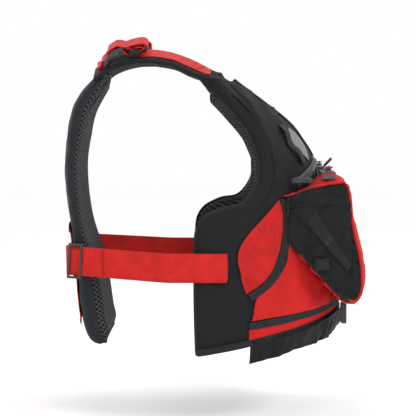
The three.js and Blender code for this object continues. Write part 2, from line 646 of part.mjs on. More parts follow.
// The folded free end lies on the strap and lifts towards its rounded tip.
const TAIL_START = 0.3;
const TAIL_END = 0.47;
const TAIL_THICK = 3.6; // two thicknesses of webbing, folded
function webbingTail() {
  const base = padTop + 3 * GAP + WEBBING;
  return slab(4, 8, 1, (a, b, c) => {
    const round = Math.sqrt(Math.max(0, 1 - Math.max(0, (b - 0.8) / 0.2) ** 2 * 0.75));
    const lift = base + 16 * THREE.MathUtils.smoothstep(b, 0.35, 1) + c * TAIL_THICK;
    const across = (2 * a - 1) * WEBBING_WIDTH / 2 * round;
    return strapPoint(THREE.MathUtils.lerp(TAIL_START, TAIL_END, b), across, lift);
  });
}

// An elastic loop round the strap, over the webbing and its tail.
function elasticKeeper() {
  const [s0, s1] = [0.315, 0.385];
  const elastic = 1.2;
  const half = PAD_WIDTH / 2 + 1.2;
  const low = -padTop - GAP;
  const high = padTop + 3 * GAP + WEBBING + TAIL_THICK + 2.4;
  const outer = strapPiece(s0, s1, half + elastic, low - elastic, high + elastic, 3);
  const inner = strapPiece(s0 - 0.01, s1 + 0.01, half, low, high, 3);
  return fromManifold(toManifold(outer).subtract(toManifold(inner)));
}

// Curved ladder-lock: two cheeks joined by three bars, over the strap between the two webbings.
const LOCK_S = [0.06, 0.25];
const LOCK_HALF = WEBBING_WIDTH / 2 + 5;
const LOCK_LIFT = 4.8; // its ends' middle line above the strap when it lies flat
const LOCK_REST_TILT = 0.42; // radians, front end up
const LOCK_BAR_R = 1.9;
const lockAt = (b) => THREE.MathUtils.lerp(LOCK_S[0], LOCK_S[1], b);
function lockBar(s, lift, radius) {
  const bar = new THREE.CylinderGeometry(radius, radius, 2 * LOCK_HALF - 2, 10);
  bar.rotateZ(Math.PI / 2).rotateY(-SHOULDER_TILT);
  const c = strapPoint(s, 0, lift);
  return facingOut(bar.translate(c.x, c.y, c.z));
}

function ladderLock() {
  const crown = (b) => padTop + LOCK_LIFT + 3.5 * Math.sin(Math.PI * b);
  const cheek = (side) => slab(1, 8, 1, (a, b, c) => strapPoint(
    lockAt(b), side * (LOCK_HALF - 2) + (a - 0.5) * 4, crown(b) + (c - 0.5) * 5));
  const ends = [0.08, 0.92].map((b) => lockBar(lockAt(b), crown(b), LOCK_BAR_R));
  const middle = lockBar(lockAt(0.5), crown(0.5) + 0.6, LOCK_BAR_R);
  const flat = union(cheek(-1), cheek(1), ...ends, middle);
  const pivot = strapPoint(lockAt(0.08), 0, crown(0.08));
  const axis = new THREE.Vector3(-Math.cos(SHOULDER_TILT), 0, -Math.sin(SHOULDER_TILT));
  const turn = new THREE.Matrix4().makeRotationAxis(axis, LOCK_REST_TILT);
  const back = new THREE.Matrix4().makeTranslation(-pivot.x, -pivot.y, -pivot.z);
  const there = new THREE.Matrix4().makeTranslation(pivot.x, pivot.y, pivot.z);
  return placed(flat, there.multiply(turn).multiply(back));
}

// ---- Side webbing with tri-glides ----------------------------------------------------------------------
// Plan path of the webbing's inner face on the right side, from the middle of the back to the wing.
const RUN_START = new THREE.Vector2(-(BACK_HALF_WIDTH + 12), 219);
const RUN_END = new THREE.Vector2(-(CHEST_HALF_WIDTH + 4.5), 66);
function sidePath() {
  const curve = (x) => BACK_CENTRE_LEAD * (x / backHalf(SIDE_WEBBING_Z)) ** 2;
  const rear = (x) => backLine(SIDE_WEBBING_Z) - curve(x) + GAP + 1.5;
  const path = new THREE.CurvePath();
  const points = [0, -35, -70, -105].map((x) => new THREE.Vector2(x, rear(x)));
  const edge = new THREE.Vector2(-BACK_HALF_WIDTH + 12, rear(-BACK_HALF_WIDTH + 12) + 1.5);
  path.add(new THREE.SplineCurve([...points, edge]));
  path.add(new THREE.QuadraticBezierCurve(
    edge, RUN_START.clone().add(new THREE.Vector2(3.5, 8)), RUN_START));
  path.add(new THREE.LineCurve(RUN_START, RUN_END));
  const wing = [1.66, 1.58, 1.49, 1.4].map((theta) => {
    const p = form(theta, SIDE_WEBBING_Z - 10, 2 * LAYER_GAP);
    return new THREE.Vector2(p.x, p.y);
  });
  path.add(new THREE.SplineCurve([RUN_END, ...wing]));
  return path;
}

// The webbing falls forward along its straight run.
const SIDE_FALL = 10;
const webbingFall = (y) => SIDE_WEBBING_Z
  - SIDE_FALL * THREE.MathUtils.clamp((RUN_START.y - y) / (RUN_START.y - RUN_END.y), 0, 1);

function sideWebbing() {
  const curves = sidePath().curves;
  const samples = [];
  const counts = [6, 4, 3, 5];
  curves.forEach((curve, k) => {
    for (let i = k ? 1 : 0; i <= counts[k]; i++) {
      const u = i / counts[k];
      samples.push([curve.getPoint(u), curve.getTangent(u)]);
    }
  });
  const last = samples.length - 1;
  const both = [...samples.slice(1).reverse().map(([p, d]) => [
    new THREE.Vector2(-p.x, p.y), new THREE.Vector2(d.x, -d.y)]), ...samples];
  return slab(1, 2 * last, 1, (a, b, c) => {
    const [p, d] = both[Math.round(b * 2 * last)];
    const n = new THREE.Vector2(d.y, -d.x).normalize().multiplyScalar(c * WEBBING);
    const out = n.dot(new THREE.Vector2(p.x, p.y - 40)) < 0 ? -1 : 1;
    const z = webbingFall(p.y) + (a - 0.5) * SIDE_WEBBING_WIDTH;
    const onBack = 1 - THREE.MathUtils.smoothstep(Math.abs(p.x), BACK_HALF_WIDTH - 8, -RUN_START.x - 2);
    const lean = p.y > 150 ? onBack * (backLine(z) - backLine(SIDE_WEBBING_Z)) : 0;
    return new THREE.Vector3(p.x + out * n.x, p.y + out * n.y + lean, z);
  });
}

const runDirection = RUN_END.clone().sub(RUN_START).normalize();
const glideCentre = RUN_START.clone().addScaledVector(runDirection, GLIDE_LENGTH / 2 + 0.5);
const glideFrame = (() => {
  const fall = -SIDE_FALL / RUN_START.distanceTo(RUN_END);
  const run = new THREE.Vector3(runDirection.x, runDirection.y, fall).normalize();
  const out = new THREE.Vector3(runDirection.y, -runDirection.x, 0);
  if (out.x > 0) out.negate();
  return frameAt(new THREE.Vector3(glideCentre.x, glideCentre.y, webbingFall(glideCentre.y)), run, out);
})();

// Frame outside the webbing, middle bar behind it, joined at both ends.
function triGlide() {
  const height = SIDE_WEBBING_WIDTH + 9;
  const half = GLIDE_LENGTH / 2;
  const outline = new THREE.Shape();
  outline.moveTo(-half, -height / 2);
  outline.lineTo(half, -height / 2);
  outline.lineTo(half, height / 2);
  outline.lineTo(-half, height / 2);
  const window = new THREE.Path();
  const w = half - GLIDE_BAR;
  const h = SIDE_WEBBING_WIDTH / 2 + 0.8;
  window.moveTo(-w, -h);
  window.lineTo(-w, h);
  window.lineTo(w, h);
  window.lineTo(w, -h);
  outline.holes.push(window);
  const frame = new THREE.ExtrudeGeometry(outline, { depth: GLIDE_THICK, bevelEnabled: false });
  frame.translate(0, 0, WEBBING + GAP);
  const bar = new THREE.BoxGeometry(4, 2 * h + 2, GLIDE_THICK).translate(0, 0, -GAP - GLIDE_THICK / 2);
  const post = (s) => new THREE.BoxGeometry(4, 2.6, 2 * GLIDE_THICK + WEBBING + GAP)
    .translate(0, s * (h + 1.8), WEBBING / 2);
  const g = union(frame, bar, post(1), post(-1));
  return placed(g, glideFrame);
}

// ---- Waist belt with side-release buckle ---------------------------------------------------------------
const BELT_REAR_Z = 52;
const beltLevel = (theta) => THREE.MathUtils.lerp(
  BUCKLE_Z, BELT_REAR_Z, THREE.MathUtils.smoothstep(theta, 0.2, 1.2));
const BELT_LIFT = 3.8; // off the front panels
function waistWebbing() {
  return slab(12, 1, 1, (a, b, c) => {
    const theta = THREE.MathUtils.lerp(thetaAtX(BUCKLE_WIDTH + 2, BUCKLE_Z), 0.95, a);
    const z = beltLevel(theta) + (b - 0.5) * BELT_WIDTH;
    return form(theta, z, BELT_LIFT + c * WEBBING);
  });
}

const buckleY = frontLine(BUCKLE_Z) - BELT_LIFT - 0.5;
const buckleFrame = frameAt(
  new THREE.Vector3(0, buckleY, BUCKLE_Z), new THREE.Vector3(1, 0, 0), new THREE.Vector3(0, -1, 0));

function roundedBox(x0, x1, half, z0, z1, r) {
  const s = new THREE.Shape();
  s.moveTo(x0 + r, -half);
  s.lineTo(x1 - r, -half);
  s.absarc(x1 - r, -half + r, r, -Math.PI / 2, 0);
  s.lineTo(x1, half - r);
  s.absarc(x1 - r, half - r, r, 0, Math.PI / 2);
  s.lineTo(x0 + r, half);
  s.absarc(x0 + r, half - r, r, Math.PI / 2, Math.PI);
  s.lineTo(x0, -half + r);
  s.absarc(x0 + r, -half + r, r, Math.PI, Math.PI * 1.5);
  const g = new THREE.ExtrudeGeometry(s, { depth: z1 - z0, bevelEnabled: false, curveSegments: 3 });
  return g.translate(0, 0, z0);
}

const PRONG = { reach: 15, half: 11, thick: 4.5 };
// The female half lies on the wearer's right: a flat hollow body with a webbing bar.
function buckleFemale() {
  const half = BUCKLE_WIDTH / 2;
  const body = roundedBox(-28, -1, half, 0, BUCKLE_THICK, 4);
  const mid = BUCKLE_THICK / 2;
  const t = PRONG.thick / 2 + 0.6;
  const mouth = new THREE.BoxGeometry(PRONG.reach + 4, 2 * PRONG.half + 1.6, 2 * t)
    .translate(-(PRONG.reach + 4) / 2 + 1, 0, mid);
  const windows = new THREE.BoxGeometry(8, BUCKLE_WIDTH + 2, 2 * t).translate(-11, 0, mid);
  const slot = new THREE.BoxGeometry(4, BELT_WIDTH + 1, BUCKLE_THICK + 4).translate(-23, 0, mid);
  const cut = [mouth, windows, slot].reduce((s, g) => s.subtract(toManifold(g)), toManifold(body));
  return placed(fromManifold(cut), buckleFrame);
}

// The male half on the wearer's left: a bar block and three prongs that reach into the female half.
function buckleMale() {
  const mid = BUCKLE_THICK / 2;
  const block = roundedBox(0.5, 20, BUCKLE_WIDTH / 2 - 1, 1, BUCKLE_THICK - 1, 3);
  const slot = new THREE.BoxGeometry(4, BELT_WIDTH + 1, BUCKLE_THICK + 4).translate(14, 0, mid);
  const prong = (y, w) => new THREE.BoxGeometry(PRONG.reach + 3, w, PRONG.thick)
    .translate(-(PRONG.reach - 3) / 2, y, mid);
  const body = union(block, prong(0, 3), prong(PRONG.half - 2, 3.6), prong(-PRONG.half + 2, 3.6));
  return placed(fromManifold(toManifold(body).subtract(toManifold(slot))), buckleFrame);
}

// ---- Assembly --------------------------------------------------------------------------------------------
const cloth = (color, roughness = 0.85) => new THREE.MeshStandardMaterial(
  { color, roughness, metalness: 0 });
const BLACK = 0x26282a;
const GREY = 0x45494d;
const RED = 0xd8232f;
const MESH = 0x14171a;
const FOAM = 0xd9d6cc;
const MOULDED = 0x3c3f42;

const group = new THREE.Group();

function add(name, geometry, material) {
  const mesh = new THREE.Mesh(geometry, material);
  mesh.name = name;
  group.add(mesh);
}

function addPair(name, make, material) {
  const right = make();
  add(`${name}_right`, right, material);
  add(`${name}_left`, mirrored(right), material.clone());
}

add("back_cover", backCover(), cloth(0x2d343c));
add("back_foam", backFoam(), cloth(FOAM));
add("back_mesh_liner", backLiner(), cloth(MESH));
add("back_red_panel", backRedPanel(), cloth(RED));
addPair("front_cover", frontCover, cloth(BLACK));
addPair("front_foam", frontFoam, cloth(FOAM));
addPair("front_mesh_liner", frontLiner, cloth(MESH));
addPair("red_side_panel", redSidePanel, cloth(RED));
addPair("red_lower_panel", redLowerPanel, cloth(RED));
addPair("waist_skirt", waistSkirt, cloth(BLACK));
addPair("chest_zip", chestZip, cloth(GREY, 0.6));
addPair("chest_zip_slider", chestSlider, cloth(MOULDED, 0.4));
addPair("chest_zip_pull", chestPull, cloth(MOULDED, 0.5));
addPair("daisy_chain", daisyChain, cloth(BLACK));
addPair("main_zip", mainZipHalf, cloth(GREY, 0.6));
add("main_zip_slider", mainSlider(), cloth(MOULDED, 0.4));
add("main_zip_pull", mainPull(), cloth(BLACK, 0.6));
addPair("pocket_front", pocketFront, cloth(RED));
addPair("pocket_side", pocketGusset, cloth(BLACK));
addPair("pocket_lid", pocketLid, cloth(RED));
addPair("pocket_zip", pocketZip, cloth(GREY, 0.6));
addPair("pocket_zip_slider", pocketSlider, cloth(MOULDED, 0.4));
addPair("pocket_zip_pull", pocketPull, cloth(RED, 0.7));
addPair("shoulder_pad", shoulderPad, cloth(BLACK));
addPair("shoulder_webbing", shoulderWebbing, cloth(RED, 0.7));
addPair("anchor_webbing", anchorWebbing, cloth(RED, 0.7));
addPair("webbing_tail", webbingTail, cloth(RED, 0.7));
addPair("elastic_keeper", elasticKeeper, cloth(BLACK));
addPair("ladder_lock", ladderLock, cloth(MOULDED, 0.45));
add("side_webbing", sideWebbing(), cloth(RED, 0.7));
addPair("tri_glide", triGlide, cloth(MOULDED, 0.45));
addPair("waist_webbing", waistWebbing, cloth(BLACK, 0.7));
add("buckle_female", buckleFemale(), cloth(MOULDED, 0.4));
add("buckle_male", buckleMale(), cloth(MOULDED, 0.4));

export default group;
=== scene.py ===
import math

import bmesh
import bpy
import numpy as np
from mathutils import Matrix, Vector


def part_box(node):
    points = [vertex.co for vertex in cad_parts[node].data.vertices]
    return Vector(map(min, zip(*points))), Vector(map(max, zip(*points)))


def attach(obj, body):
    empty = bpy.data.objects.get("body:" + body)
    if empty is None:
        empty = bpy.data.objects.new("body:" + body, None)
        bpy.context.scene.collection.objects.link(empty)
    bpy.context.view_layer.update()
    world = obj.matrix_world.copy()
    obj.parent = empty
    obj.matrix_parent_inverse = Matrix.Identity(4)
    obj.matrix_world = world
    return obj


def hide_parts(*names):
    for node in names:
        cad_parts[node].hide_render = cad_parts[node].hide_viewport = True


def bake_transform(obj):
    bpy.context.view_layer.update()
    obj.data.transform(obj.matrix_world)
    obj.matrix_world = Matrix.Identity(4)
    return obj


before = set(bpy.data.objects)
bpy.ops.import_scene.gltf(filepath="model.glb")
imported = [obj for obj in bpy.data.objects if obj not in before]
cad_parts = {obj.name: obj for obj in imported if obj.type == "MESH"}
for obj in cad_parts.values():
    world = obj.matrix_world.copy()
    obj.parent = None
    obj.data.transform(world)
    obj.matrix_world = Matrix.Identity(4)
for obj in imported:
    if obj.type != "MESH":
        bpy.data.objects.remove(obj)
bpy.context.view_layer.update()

# ---- Studio --------------------------------------------------------------------------------------
# A wide pale floor, four soft lamps and a long lens nearly level with the chest, looking from the
# wearer's right. The vest hangs just above the floor, as if it were worn.
MM = 0.001
FLOOR_Z = -0.09
VIEW_CENTRE = Vector((-0.12, 0.0043, 0.2387))
VIEW_DISTANCE = 3.0
VIEW_TILT = math.radians(3.0)
VIEW_WIDTH = 0.645
SENSOR_WIDTH = 36
FLOOR_RINGS = (0.4, 1.2, 3.0, 9.0)
FLOOR_SPOKES = 48

ring_turn, ring_out = np.meshgrid(np.linspace(0, 2 * np.pi, FLOOR_SPOKES + 1), FLOOR_RINGS)
floor_points = np.stack([ring_out * np.cos(ring_turn), ring_out * np.sin(ring_turn),
                         np.full(ring_turn.shape, FLOOR_Z)], -1)
floor_points = np.concatenate([floor_points.reshape(-1, 3), [[0, 0, FLOOR_Z]]])
ring, spoke = np.meshgrid(np.arange(len(FLOOR_RINGS) - 1), np.arange(FLOOR_SPOKES), indexing="ij")
near = ring * (FLOOR_SPOKES + 1) + spoke
far = near + FLOOR_SPOKES + 1
floor_faces = np.stack([near, far, far + 1, near + 1], -1).reshape(-1, 4).tolist()
floor_faces += [(len(floor_points) - 1, j, j + 1) for j in range(FLOOR_SPOKES)]
floor_mesh = bpy.data.meshes.new("floor")
floor_mesh.from_pydata(floor_points.tolist(), [], floor_faces)
floor_mesh.shade_smooth()
floor = bpy.data.objects.new("floor", floor_mesh)
bpy.context.collection.objects.link(floor)
paper = bpy.data.materials.new("backdrop_paper")
paper.use_nodes = True
paper_skin = paper.node_tree.nodes["Principled BSDF"]
paper_skin.inputs["Base Color"].default_value = (0.975, 0.975, 0.97, 1)
paper_skin.inputs["Roughness"].default_value = 0.9
floor_mesh.materials.append(paper)

LAMP_AIM = Vector((0, 0, 0.25))
for name, place, size, watts in (
        ("key", (-1.5, -2.0, 2.0), 0.8, 32),
        ("fill", (-1.9, 1.7, 0.7), 1.4, 2),
        ("top", (0.1, 0.3, 2.3), 0.9, 9),
        ("behind", (1.6, 1.6, 1.3), 1.2, 8)):
    lamp = bpy.data.lights.new(name, "AREA")
    lamp.size = size
    lamp.energy = watts
    lamp_object = bpy.data.objects.new(name, lamp)
    lamp_object.location = place
    lamp_object.rotation_euler = (LAMP_AIM - Vector(place)).to_track_quat("-Z", "Y").to_euler()
    lamp_object.visible_camera = False
    bpy.context.collection.objects.link(lamp_object)

world = bpy.data.worlds.new("studio")
world.use_nodes = True
world.node_tree.nodes["Background"].inputs["Color"].default_value = (1, 1, 1, 1)
world.node_tree.nodes["Background"].inputs["Strength"].default_value = 1.0
bpy.context.scene.world = world

camera_data = bpy.data.cameras.new("camera")
camera_data.sensor_width = SENSOR_WIDTH
camera_data.lens = SENSOR_WIDTH * VIEW_DISTANCE / VIEW_WIDTH
camera = bpy.data.objects.new("camera", camera_data)
view_from = Vector((-math.cos(VIEW_TILT), 0, math.sin(VIEW_TILT)))
camera.location = VIEW_CENTRE + view_from * VIEW_DISTANCE
camera.rotation_euler = (-view_from).to_track_quat("-Z", "Y").to_euler()
bpy.context.collection.objects.link(camera)
bpy.context.scene.camera = camera
bpy.context.scene.view_settings.view_transform = "Standard"


# ---- Back panel: foam slab -----------------------------------------------------------------------
# A closed-cell foam slab, thinner over the shoulder blades than at the waist, curved to the back.
# It is cut from sheet foam and lies loose between the cover and the mesh liner.
def smooth_through(z, knots):
    """Cubic through (z, value) knots; a knot's slope is that of the line between its neighbours."""
    zk, vk = np.array(knots, float).T
    last = len(zk) - 1
    low, high = np.maximum(np.arange(last + 1) - 1, 0), np.minimum(np.arange(last + 1) + 1, last)
    slope = (vk[high] - vk[low]) / (zk[high] - zk[low])
    i = np.clip(np.searchsorted(zk, z, side="right") - 1, 0, last - 1)
    h = zk[i + 1] - zk[i]
    s = np.clip((z - zk[i]) / h, 0, 1)
    return ((2 * s**3 - 3 * s**2 + 1) * vk[i] + (s**3 - 2 * s**2 + s) * h * slope[i]
            + (3 * s**2 - 2 * s**3) * vk[i + 1] + (s**3 - s**2) * h * slope[i + 1])


def ease(x, low, high):
    """Smooth step from 0 at low to 1 at high."""
    s = np.clip((x - low) / (high - low), 0, 1)
    return s * s * (3 - 2 * s)


def across_grid(p):
    """Unit normals of a grid of points: the cross product of its two directions of travel."""
    n = np.cross(np.gradient(p, axis=0), np.gradient(p, axis=1))
    return n / np.maximum(np.linalg.norm(n, axis=-1, keepdims=True), 1e-12)


def walked(grid, axis=0):
    """Distance walked along a path's points, or down (axis 0) or across (axis 1) a grid, from 0."""
    steps = np.linalg.norm(np.diff(grid, axis=axis), axis=-1)
    return np.insert(steps.cumsum(axis), 0, 0, axis=axis)


def edge_steps(count, edge):
    """Parameters from 0 to 1, closer together within a share edge of either end."""
    ramp = edge * (1 - np.cos(np.linspace(0, np.pi / 2, 6)))
    return np.concatenate([ramp, np.linspace(edge, 1 - edge, count)[1:-1], 1 - ramp[::-1]])


def creases(p, size, seed):
    """Soft folds: a sum of eight sine waves in seeded directions, each about size metres long."""
    rng = np.random.default_rng(seed)
    out = np.zeros(p.shape[:-1])
    for k in range(8):
        direction = rng.normal(size=3)
        direction /= np.linalg.norm(direction)
        bend = rng.normal(size=3) * 0.5
        wave = rng.uniform(0.7, 1.5) * 2 * np.pi / size
        phase = rng.uniform(0, 2 * np.pi) + 1.3 * np.sin(p @ bend * wave * 0.6)
        out += np.sin(p @ direction * wave + phase)
    return out / 4


def squares(index):
    """Four-sided faces between neighbouring points of a grid of point numbers."""
    return np.stack([index[:-1, :-1], index[1:, :-1], index[1:, 1:], index[:-1, 1:]], -1).reshape(-1, 4)


def grid_shell(name, outer, inner, cloth):
    """A closed piece from two grids whose rims are the same points. UVs are metres along the grid."""
    rows, columns = outer.shape[:2]
    index_out = np.arange(rows * columns).reshape(rows, columns)
    index_in = index_out.copy()
    within = np.arange((rows - 2) * (columns - 2)).reshape(rows - 2, columns - 2)
    index_in[1:-1, 1:-1] = rows * columns + within
    points = np.concatenate([outer.reshape(-1, 3), inner[1:-1, 1:-1].reshape(-1, 3)])
    faces = np.concatenate([squares(index_out), squares(index_in)[:, ::-1]])
    flat = np.stack([walked(outer, 1), walked(outer, 0)], -1)
    uv = np.concatenate([flat.reshape(-1, 2), flat[1:-1, 1:-1].reshape(-1, 2)])
    return closed_piece(name, points, faces, cloth, uv)


def closed_piece(name, points, faces, finish, uv=None, smooth=True):
    """A mesh object from arrays, turned to face outwards by the sign of its volume."""
    a, b, c, d = (points[faces[:, k]] for k in (0, 1, 2, 3))
    volume = (a * (np.cross(b, c) + np.cross(c, d))).sum()
    if volume < 0:
        faces = faces[:, ::-1]
    mesh = bpy.data.meshes.new(name)
    mesh.from_pydata(points.tolist(), [], faces.tolist())
    if uv is not None:
        layer = mesh.uv_layers.new(name="cut")
        layer.data.foreach_set("uv", uv[faces.reshape(-1)].reshape(-1).astype(np.float32))
    mesh.polygons.foreach_set("use_smooth", np.full(len(faces), smooth))
    mesh.materials.append(finish)
    piece = bpy.data.objects.new(name, mesh)
    bpy.context.collection.objects.link(piece)
    return piece


def pillow(middle, thick, widths):
    """Outer and inner grids of a crowned slab: half its thickness times the square root of
    1 - (1 - d)^2, where d is the distance to the nearest edge over that edge's rounding width."""
    n = across_grid(middle)
    top, bottom, start, end = widths
    rows, columns = walked(middle, 0), walked(middle, 1)
    d = np.minimum.reduce([rows / bottom, (rows[-1:] - rows) / top,
                           columns / start, (columns[:, -1:] - columns) / end])
    crown = np.sqrt(np.clip(1 - (1 - np.clip(d, 0, 1))**2, 0, 1))
    crown[0], crown[-1], crown[:, 0], crown[:, -1] = 0, 0, 0, 0
    lift = (0.5 * thick * crown)[..., None] * n
    return middle + lift, middle - lift, n, crown


def shader(name, colour, roughness, sheen=0.0, coat=0.0, gloss=0.16):
    """A principled material with its even values set, and its node tree for what varies."""
    material = bpy.data.materials.new(name)
    material.use_nodes = True
    nodes, links = material.node_tree.nodes, material.node_tree.links
    skin = nodes["Principled BSDF"]
    skin.inputs["Base Color"].default_value = (*colour, 1)
    skin.inputs["Roughness"].default_value = roughness
    skin.inputs["Sheen Weight"].default_value = sheen
    skin.inputs["Sheen Roughness"].default_value = 0.5
    skin.inputs["Coat Weight"].default_value = coat
    skin.inputs["Specular IOR Level"].default_value = gloss
    return material, nodes, links, skin


def mottle(nodes, links, colour, spread, scale, source="Object", detail=4.0):
    """Colour that drifts by spread round its value, from a noise of the given scale."""
    where = nodes.new("ShaderNodeTexCoord")
    noise = nodes.new("ShaderNodeTexNoise")
    noise.inputs["Scale"].default_value = scale
    noise.inputs["Detail"].default_value = detail
    links.new(where.outputs[source], noise.inputs["Vector"])
    ramp = nodes.new("ShaderNodeValToRGB")
    ramp.color_ramp.elements[0].position, ramp.color_ramp.elements[1].position = 0.3, 0.7
    ramp.color_ramp.elements[0].color = (*[c * (1 - spread) for c in colour], 1)
    ramp.color_ramp.elements[1].color = (*[min(1, c * (1 + spread)) for c in colour], 1)
    links.new(noise.outputs["Fac"], ramp.inputs["Fac"])
    return where, noise, ramp


def bump_of(nodes, links, height, distance, strength=1.0, under=None):
    """A bump node of a real height in metres, laid over another bump if one is given."""
    bump = nodes.new("ShaderNodeBump")
    bump.inputs["Distance"].default_value = distance
    bump.inputs["Strength"].default_value = strength
    links.new(height, bump.inputs["Height"])
    if under is not None:
        links.new(under.outputs["Normal"], bump.inputs["Normal"])
    return bump


def foam_finish():
    """Closed-cell foam: pale, dull and pitted by a fine noise."""
    colour = (0.66, 0.63, 0.55)
    material, nodes, links, skin = shader("closed_cell_foam", colour, 0.85)
    where, noise, ramp = mottle(nodes, links, colour, 0.1, 900)
    links.new(ramp.outputs["Color"], skin.inputs["Base Color"])
    links.new(bump_of(nodes, links, noise.outputs["Fac"], 0.0004).outputs["Normal"], skin.inputs["Normal"])
    return material


foam = foam_finish()

BACK_HALF = 0.140
BACK_LEAD = 0.008
BACK_LINE = np.array([(24, 180), (40, 195), (66, 205), (138, 213), (215, 223), (292, 232),
                      (345, 229), (397, 217), (451, 176)]) * MM
BACK_THICK = np.array([(24, 26), (53, 36), (138, 33), (215, 20), (292, 21), (400, 25), (451, 16)]) * MM
BACK_TOP, BACK_NECK = 0.446, 0.398
STRAP_X, STRAP_TILT = 0.100, 0.28


def back_half(z):
    """Half width at a height: a slow bulge at the waist, narrower under the shoulder straps."""
    return BACK_HALF + 0.004 * np.sin(np.pi * z / 0.26) - 0.010 * ease(z, 0.33, 0.449)


def back_surface(u, b, inwards):
    """Point u across (-1..1) and b up (0..1), moved in from the outer face by inwards metres."""
    fall = np.maximum(0, np.abs(u) * BACK_HALF - STRAP_X) * math.tan(STRAP_TILT)
    top = BACK_NECK + (BACK_TOP - BACK_NECK) * ease(np.abs(u), 0.15, 0.5) - fall
    bottom = 0.026 + 0.005 * u**2
    z = bottom + (top - bottom) * b
    taper = 1 - 0.06 * ease(-z, -0.10, -0.026)
    x = u * back_half(z) * taper
    return np.stack([x, smooth_through(z, BACK_LINE) - BACK_LEAD * u**2 - inwards, z], -1)


back_u, back_b = np.meshgrid(2 * edge_steps(50, 0.05) - 1, edge_steps(70, 0.03))
back_depth = smooth_through(back_surface(back_u, back_b, 0)[..., 2], BACK_THICK)
back_middle = back_surface(back_u, back_b, back_depth / 2)
if across_grid(back_middle)[30, 30, 1] < 0:
    back_middle = back_middle[:, ::-1]
    back_depth = back_depth[:, ::-1]
BACK_EDGES = (0.016, 0.018, 0.016, 0.016)
outer, inner = pillow(back_middle, back_depth - 0.006, BACK_EDGES)[:2]
back_foam = grid_shell("back_foam_slab", outer, inner, foam)
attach(back_foam, "vest")
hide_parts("back_foam")


# ---- Back panel: outer cover ---------------------------------------------------------------------
# Dark blue-grey coated nylon over the foam's outer face, brought round the edges to the seam at
# half the panel's thickness. It puckers slightly along the seam.
def bands(nodes, links, where, turn, pitch, wobble):
    """Bands of a pitch in metres over the cut's own metres, turned by an angle. A wave texture of
    scale 1 repeats every 2 pi / 20."""
    mapping = nodes.new("ShaderNodeMapping")
    mapping.inputs["Rotation"].default_value = (0, 0, turn)
    links.new(where.outputs["UV"], mapping.inputs["Vector"])
    wave = nodes.new("ShaderNodeTexWave")
    wave.inputs["Scale"].default_value = 2 * math.pi / 20 / pitch
    wave.inputs["Distortion"].default_value = wobble
    links.new(mapping.outputs["Vector"], wave.inputs["Vector"])
    return wave


def crossed(nodes, links, waves, operation):
    """Two families of bands joined point by point: their product, or the higher of the two."""
    cross = nodes.new("ShaderNodeMath")
    cross.operation = operation
    for k, wave in enumerate(waves):
        links.new(wave.outputs["Fac"], cross.inputs[k])
    return cross.outputs["Value"]


def painted_hollow_shade(nodes, links, skin, colour, height, share):
    """The colour, darkened by a share where the height is low: painted shade in the low parts."""
    shade = nodes.new("ShaderNodeMix")
    shade.data_type = "RGBA"
    shade.blend_type = "MULTIPLY"
    shade.inputs["Factor"].default_value = share
    links.new(colour, shade.inputs["A"])
    links.new(height, shade.inputs["B"])
    links.new(shade.outputs["Result"], skin.inputs["Base Color"])


def gloss_drift(nodes, links, skin, slow, low, high):
    """Roughness that follows a slow noise from low to high."""
    spread = nodes.new("ShaderNodeMapRange")
    spread.inputs["To Min"].default_value = low
    spread.inputs["To Max"].default_value = high
    links.new(slow.outputs["Fac"], spread.inputs["Value"])
    links.new(spread.outputs["Result"], skin.inputs["Roughness"])


def woven(name, colour, rib=0.0011, weave_shade=0.35, drift=0.16, roughness=0.72, sheen=0.25):
    """Plain-woven nylon: crossed ribs on the cut's own metres, painted shade where they are low, slow colour
    drift, fine fuzz.
    """
    material, nodes, links, skin = shader(name, colour, roughness, sheen)
    where, slow, ramp = mottle(nodes, links, colour, drift, 34)
    yarns = [bands(nodes, links, where, turn, rib, 0.6) for turn in (0, math.pi / 2)]
    for yarn in yarns:
        yarn.inputs["Detail Scale"].default_value = 2.0
    cross = crossed(nodes, links, yarns, "MULTIPLY")
    # Painted shade: the colour is darkened where the crossed ribs are low.
    painted_hollow_shade(nodes, links, skin, ramp.outputs["Color"], cross, weave_shade)
    fuzz = nodes.new("ShaderNodeTexNoise")
    fuzz.inputs["Scale"].default_value = 60
    fuzz.inputs["Detail"].default_value = 6
    links.new(where.outputs["Object"], fuzz.inputs["Vector"])
    soft = bump_of(nodes, links, fuzz.outputs["Fac"], 0.0012, 0.9)
    fine = bump_of(nodes, links, cross, 0.00022, 0.8, soft)
    links.new(fine.outputs["Normal"], skin.inputs["Normal"])
    gloss_drift(nodes, links, skin, slow, roughness - 0.12, roughness + 0.12)
    return material


back_cloth = woven("back_nylon", (0.020, 0.026, 0.034), sheen=0.04)
black_cloth = woven("black_nylon", (0.0135, 0.014, 0.0155), sheen=0.03)


def skin_of(name, face, n, thick, cloth):
    """A cloth skin on a face grid: thick metres outwards, closed along its rim."""
    inside = face.copy()
    outside = face + n * thick
    outside[0], outside[-1] = face[0], face[-1]
    outside[:, 0], outside[:, -1] = face[:, 0], face[:, -1]
    return grid_shell(name, outside, inside, cloth)


outer, inner, n, crown = pillow(back_middle, back_depth - 0.004, BACK_EDGES)
pucker = creases(back_middle, 0.05, 3)[..., None] * 0.0011 * crown[..., None]
back_cover = skin_of("back_outer_cover", outer + n * pucker, n, 0.0013, back_cloth)
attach(back_cover, "vest")
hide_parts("back_cover")


# ---- Back panel: mesh liner ----------------------------------------------------------------------
# Black spacer mesh on the wearer's side, brought round the edge to the same seam. Its face is a
# net of diamonds with a grey thread over holes painted near-black as the shade inside them.
NET_PITCH, NET_SLANT = 0.0062, 0.96


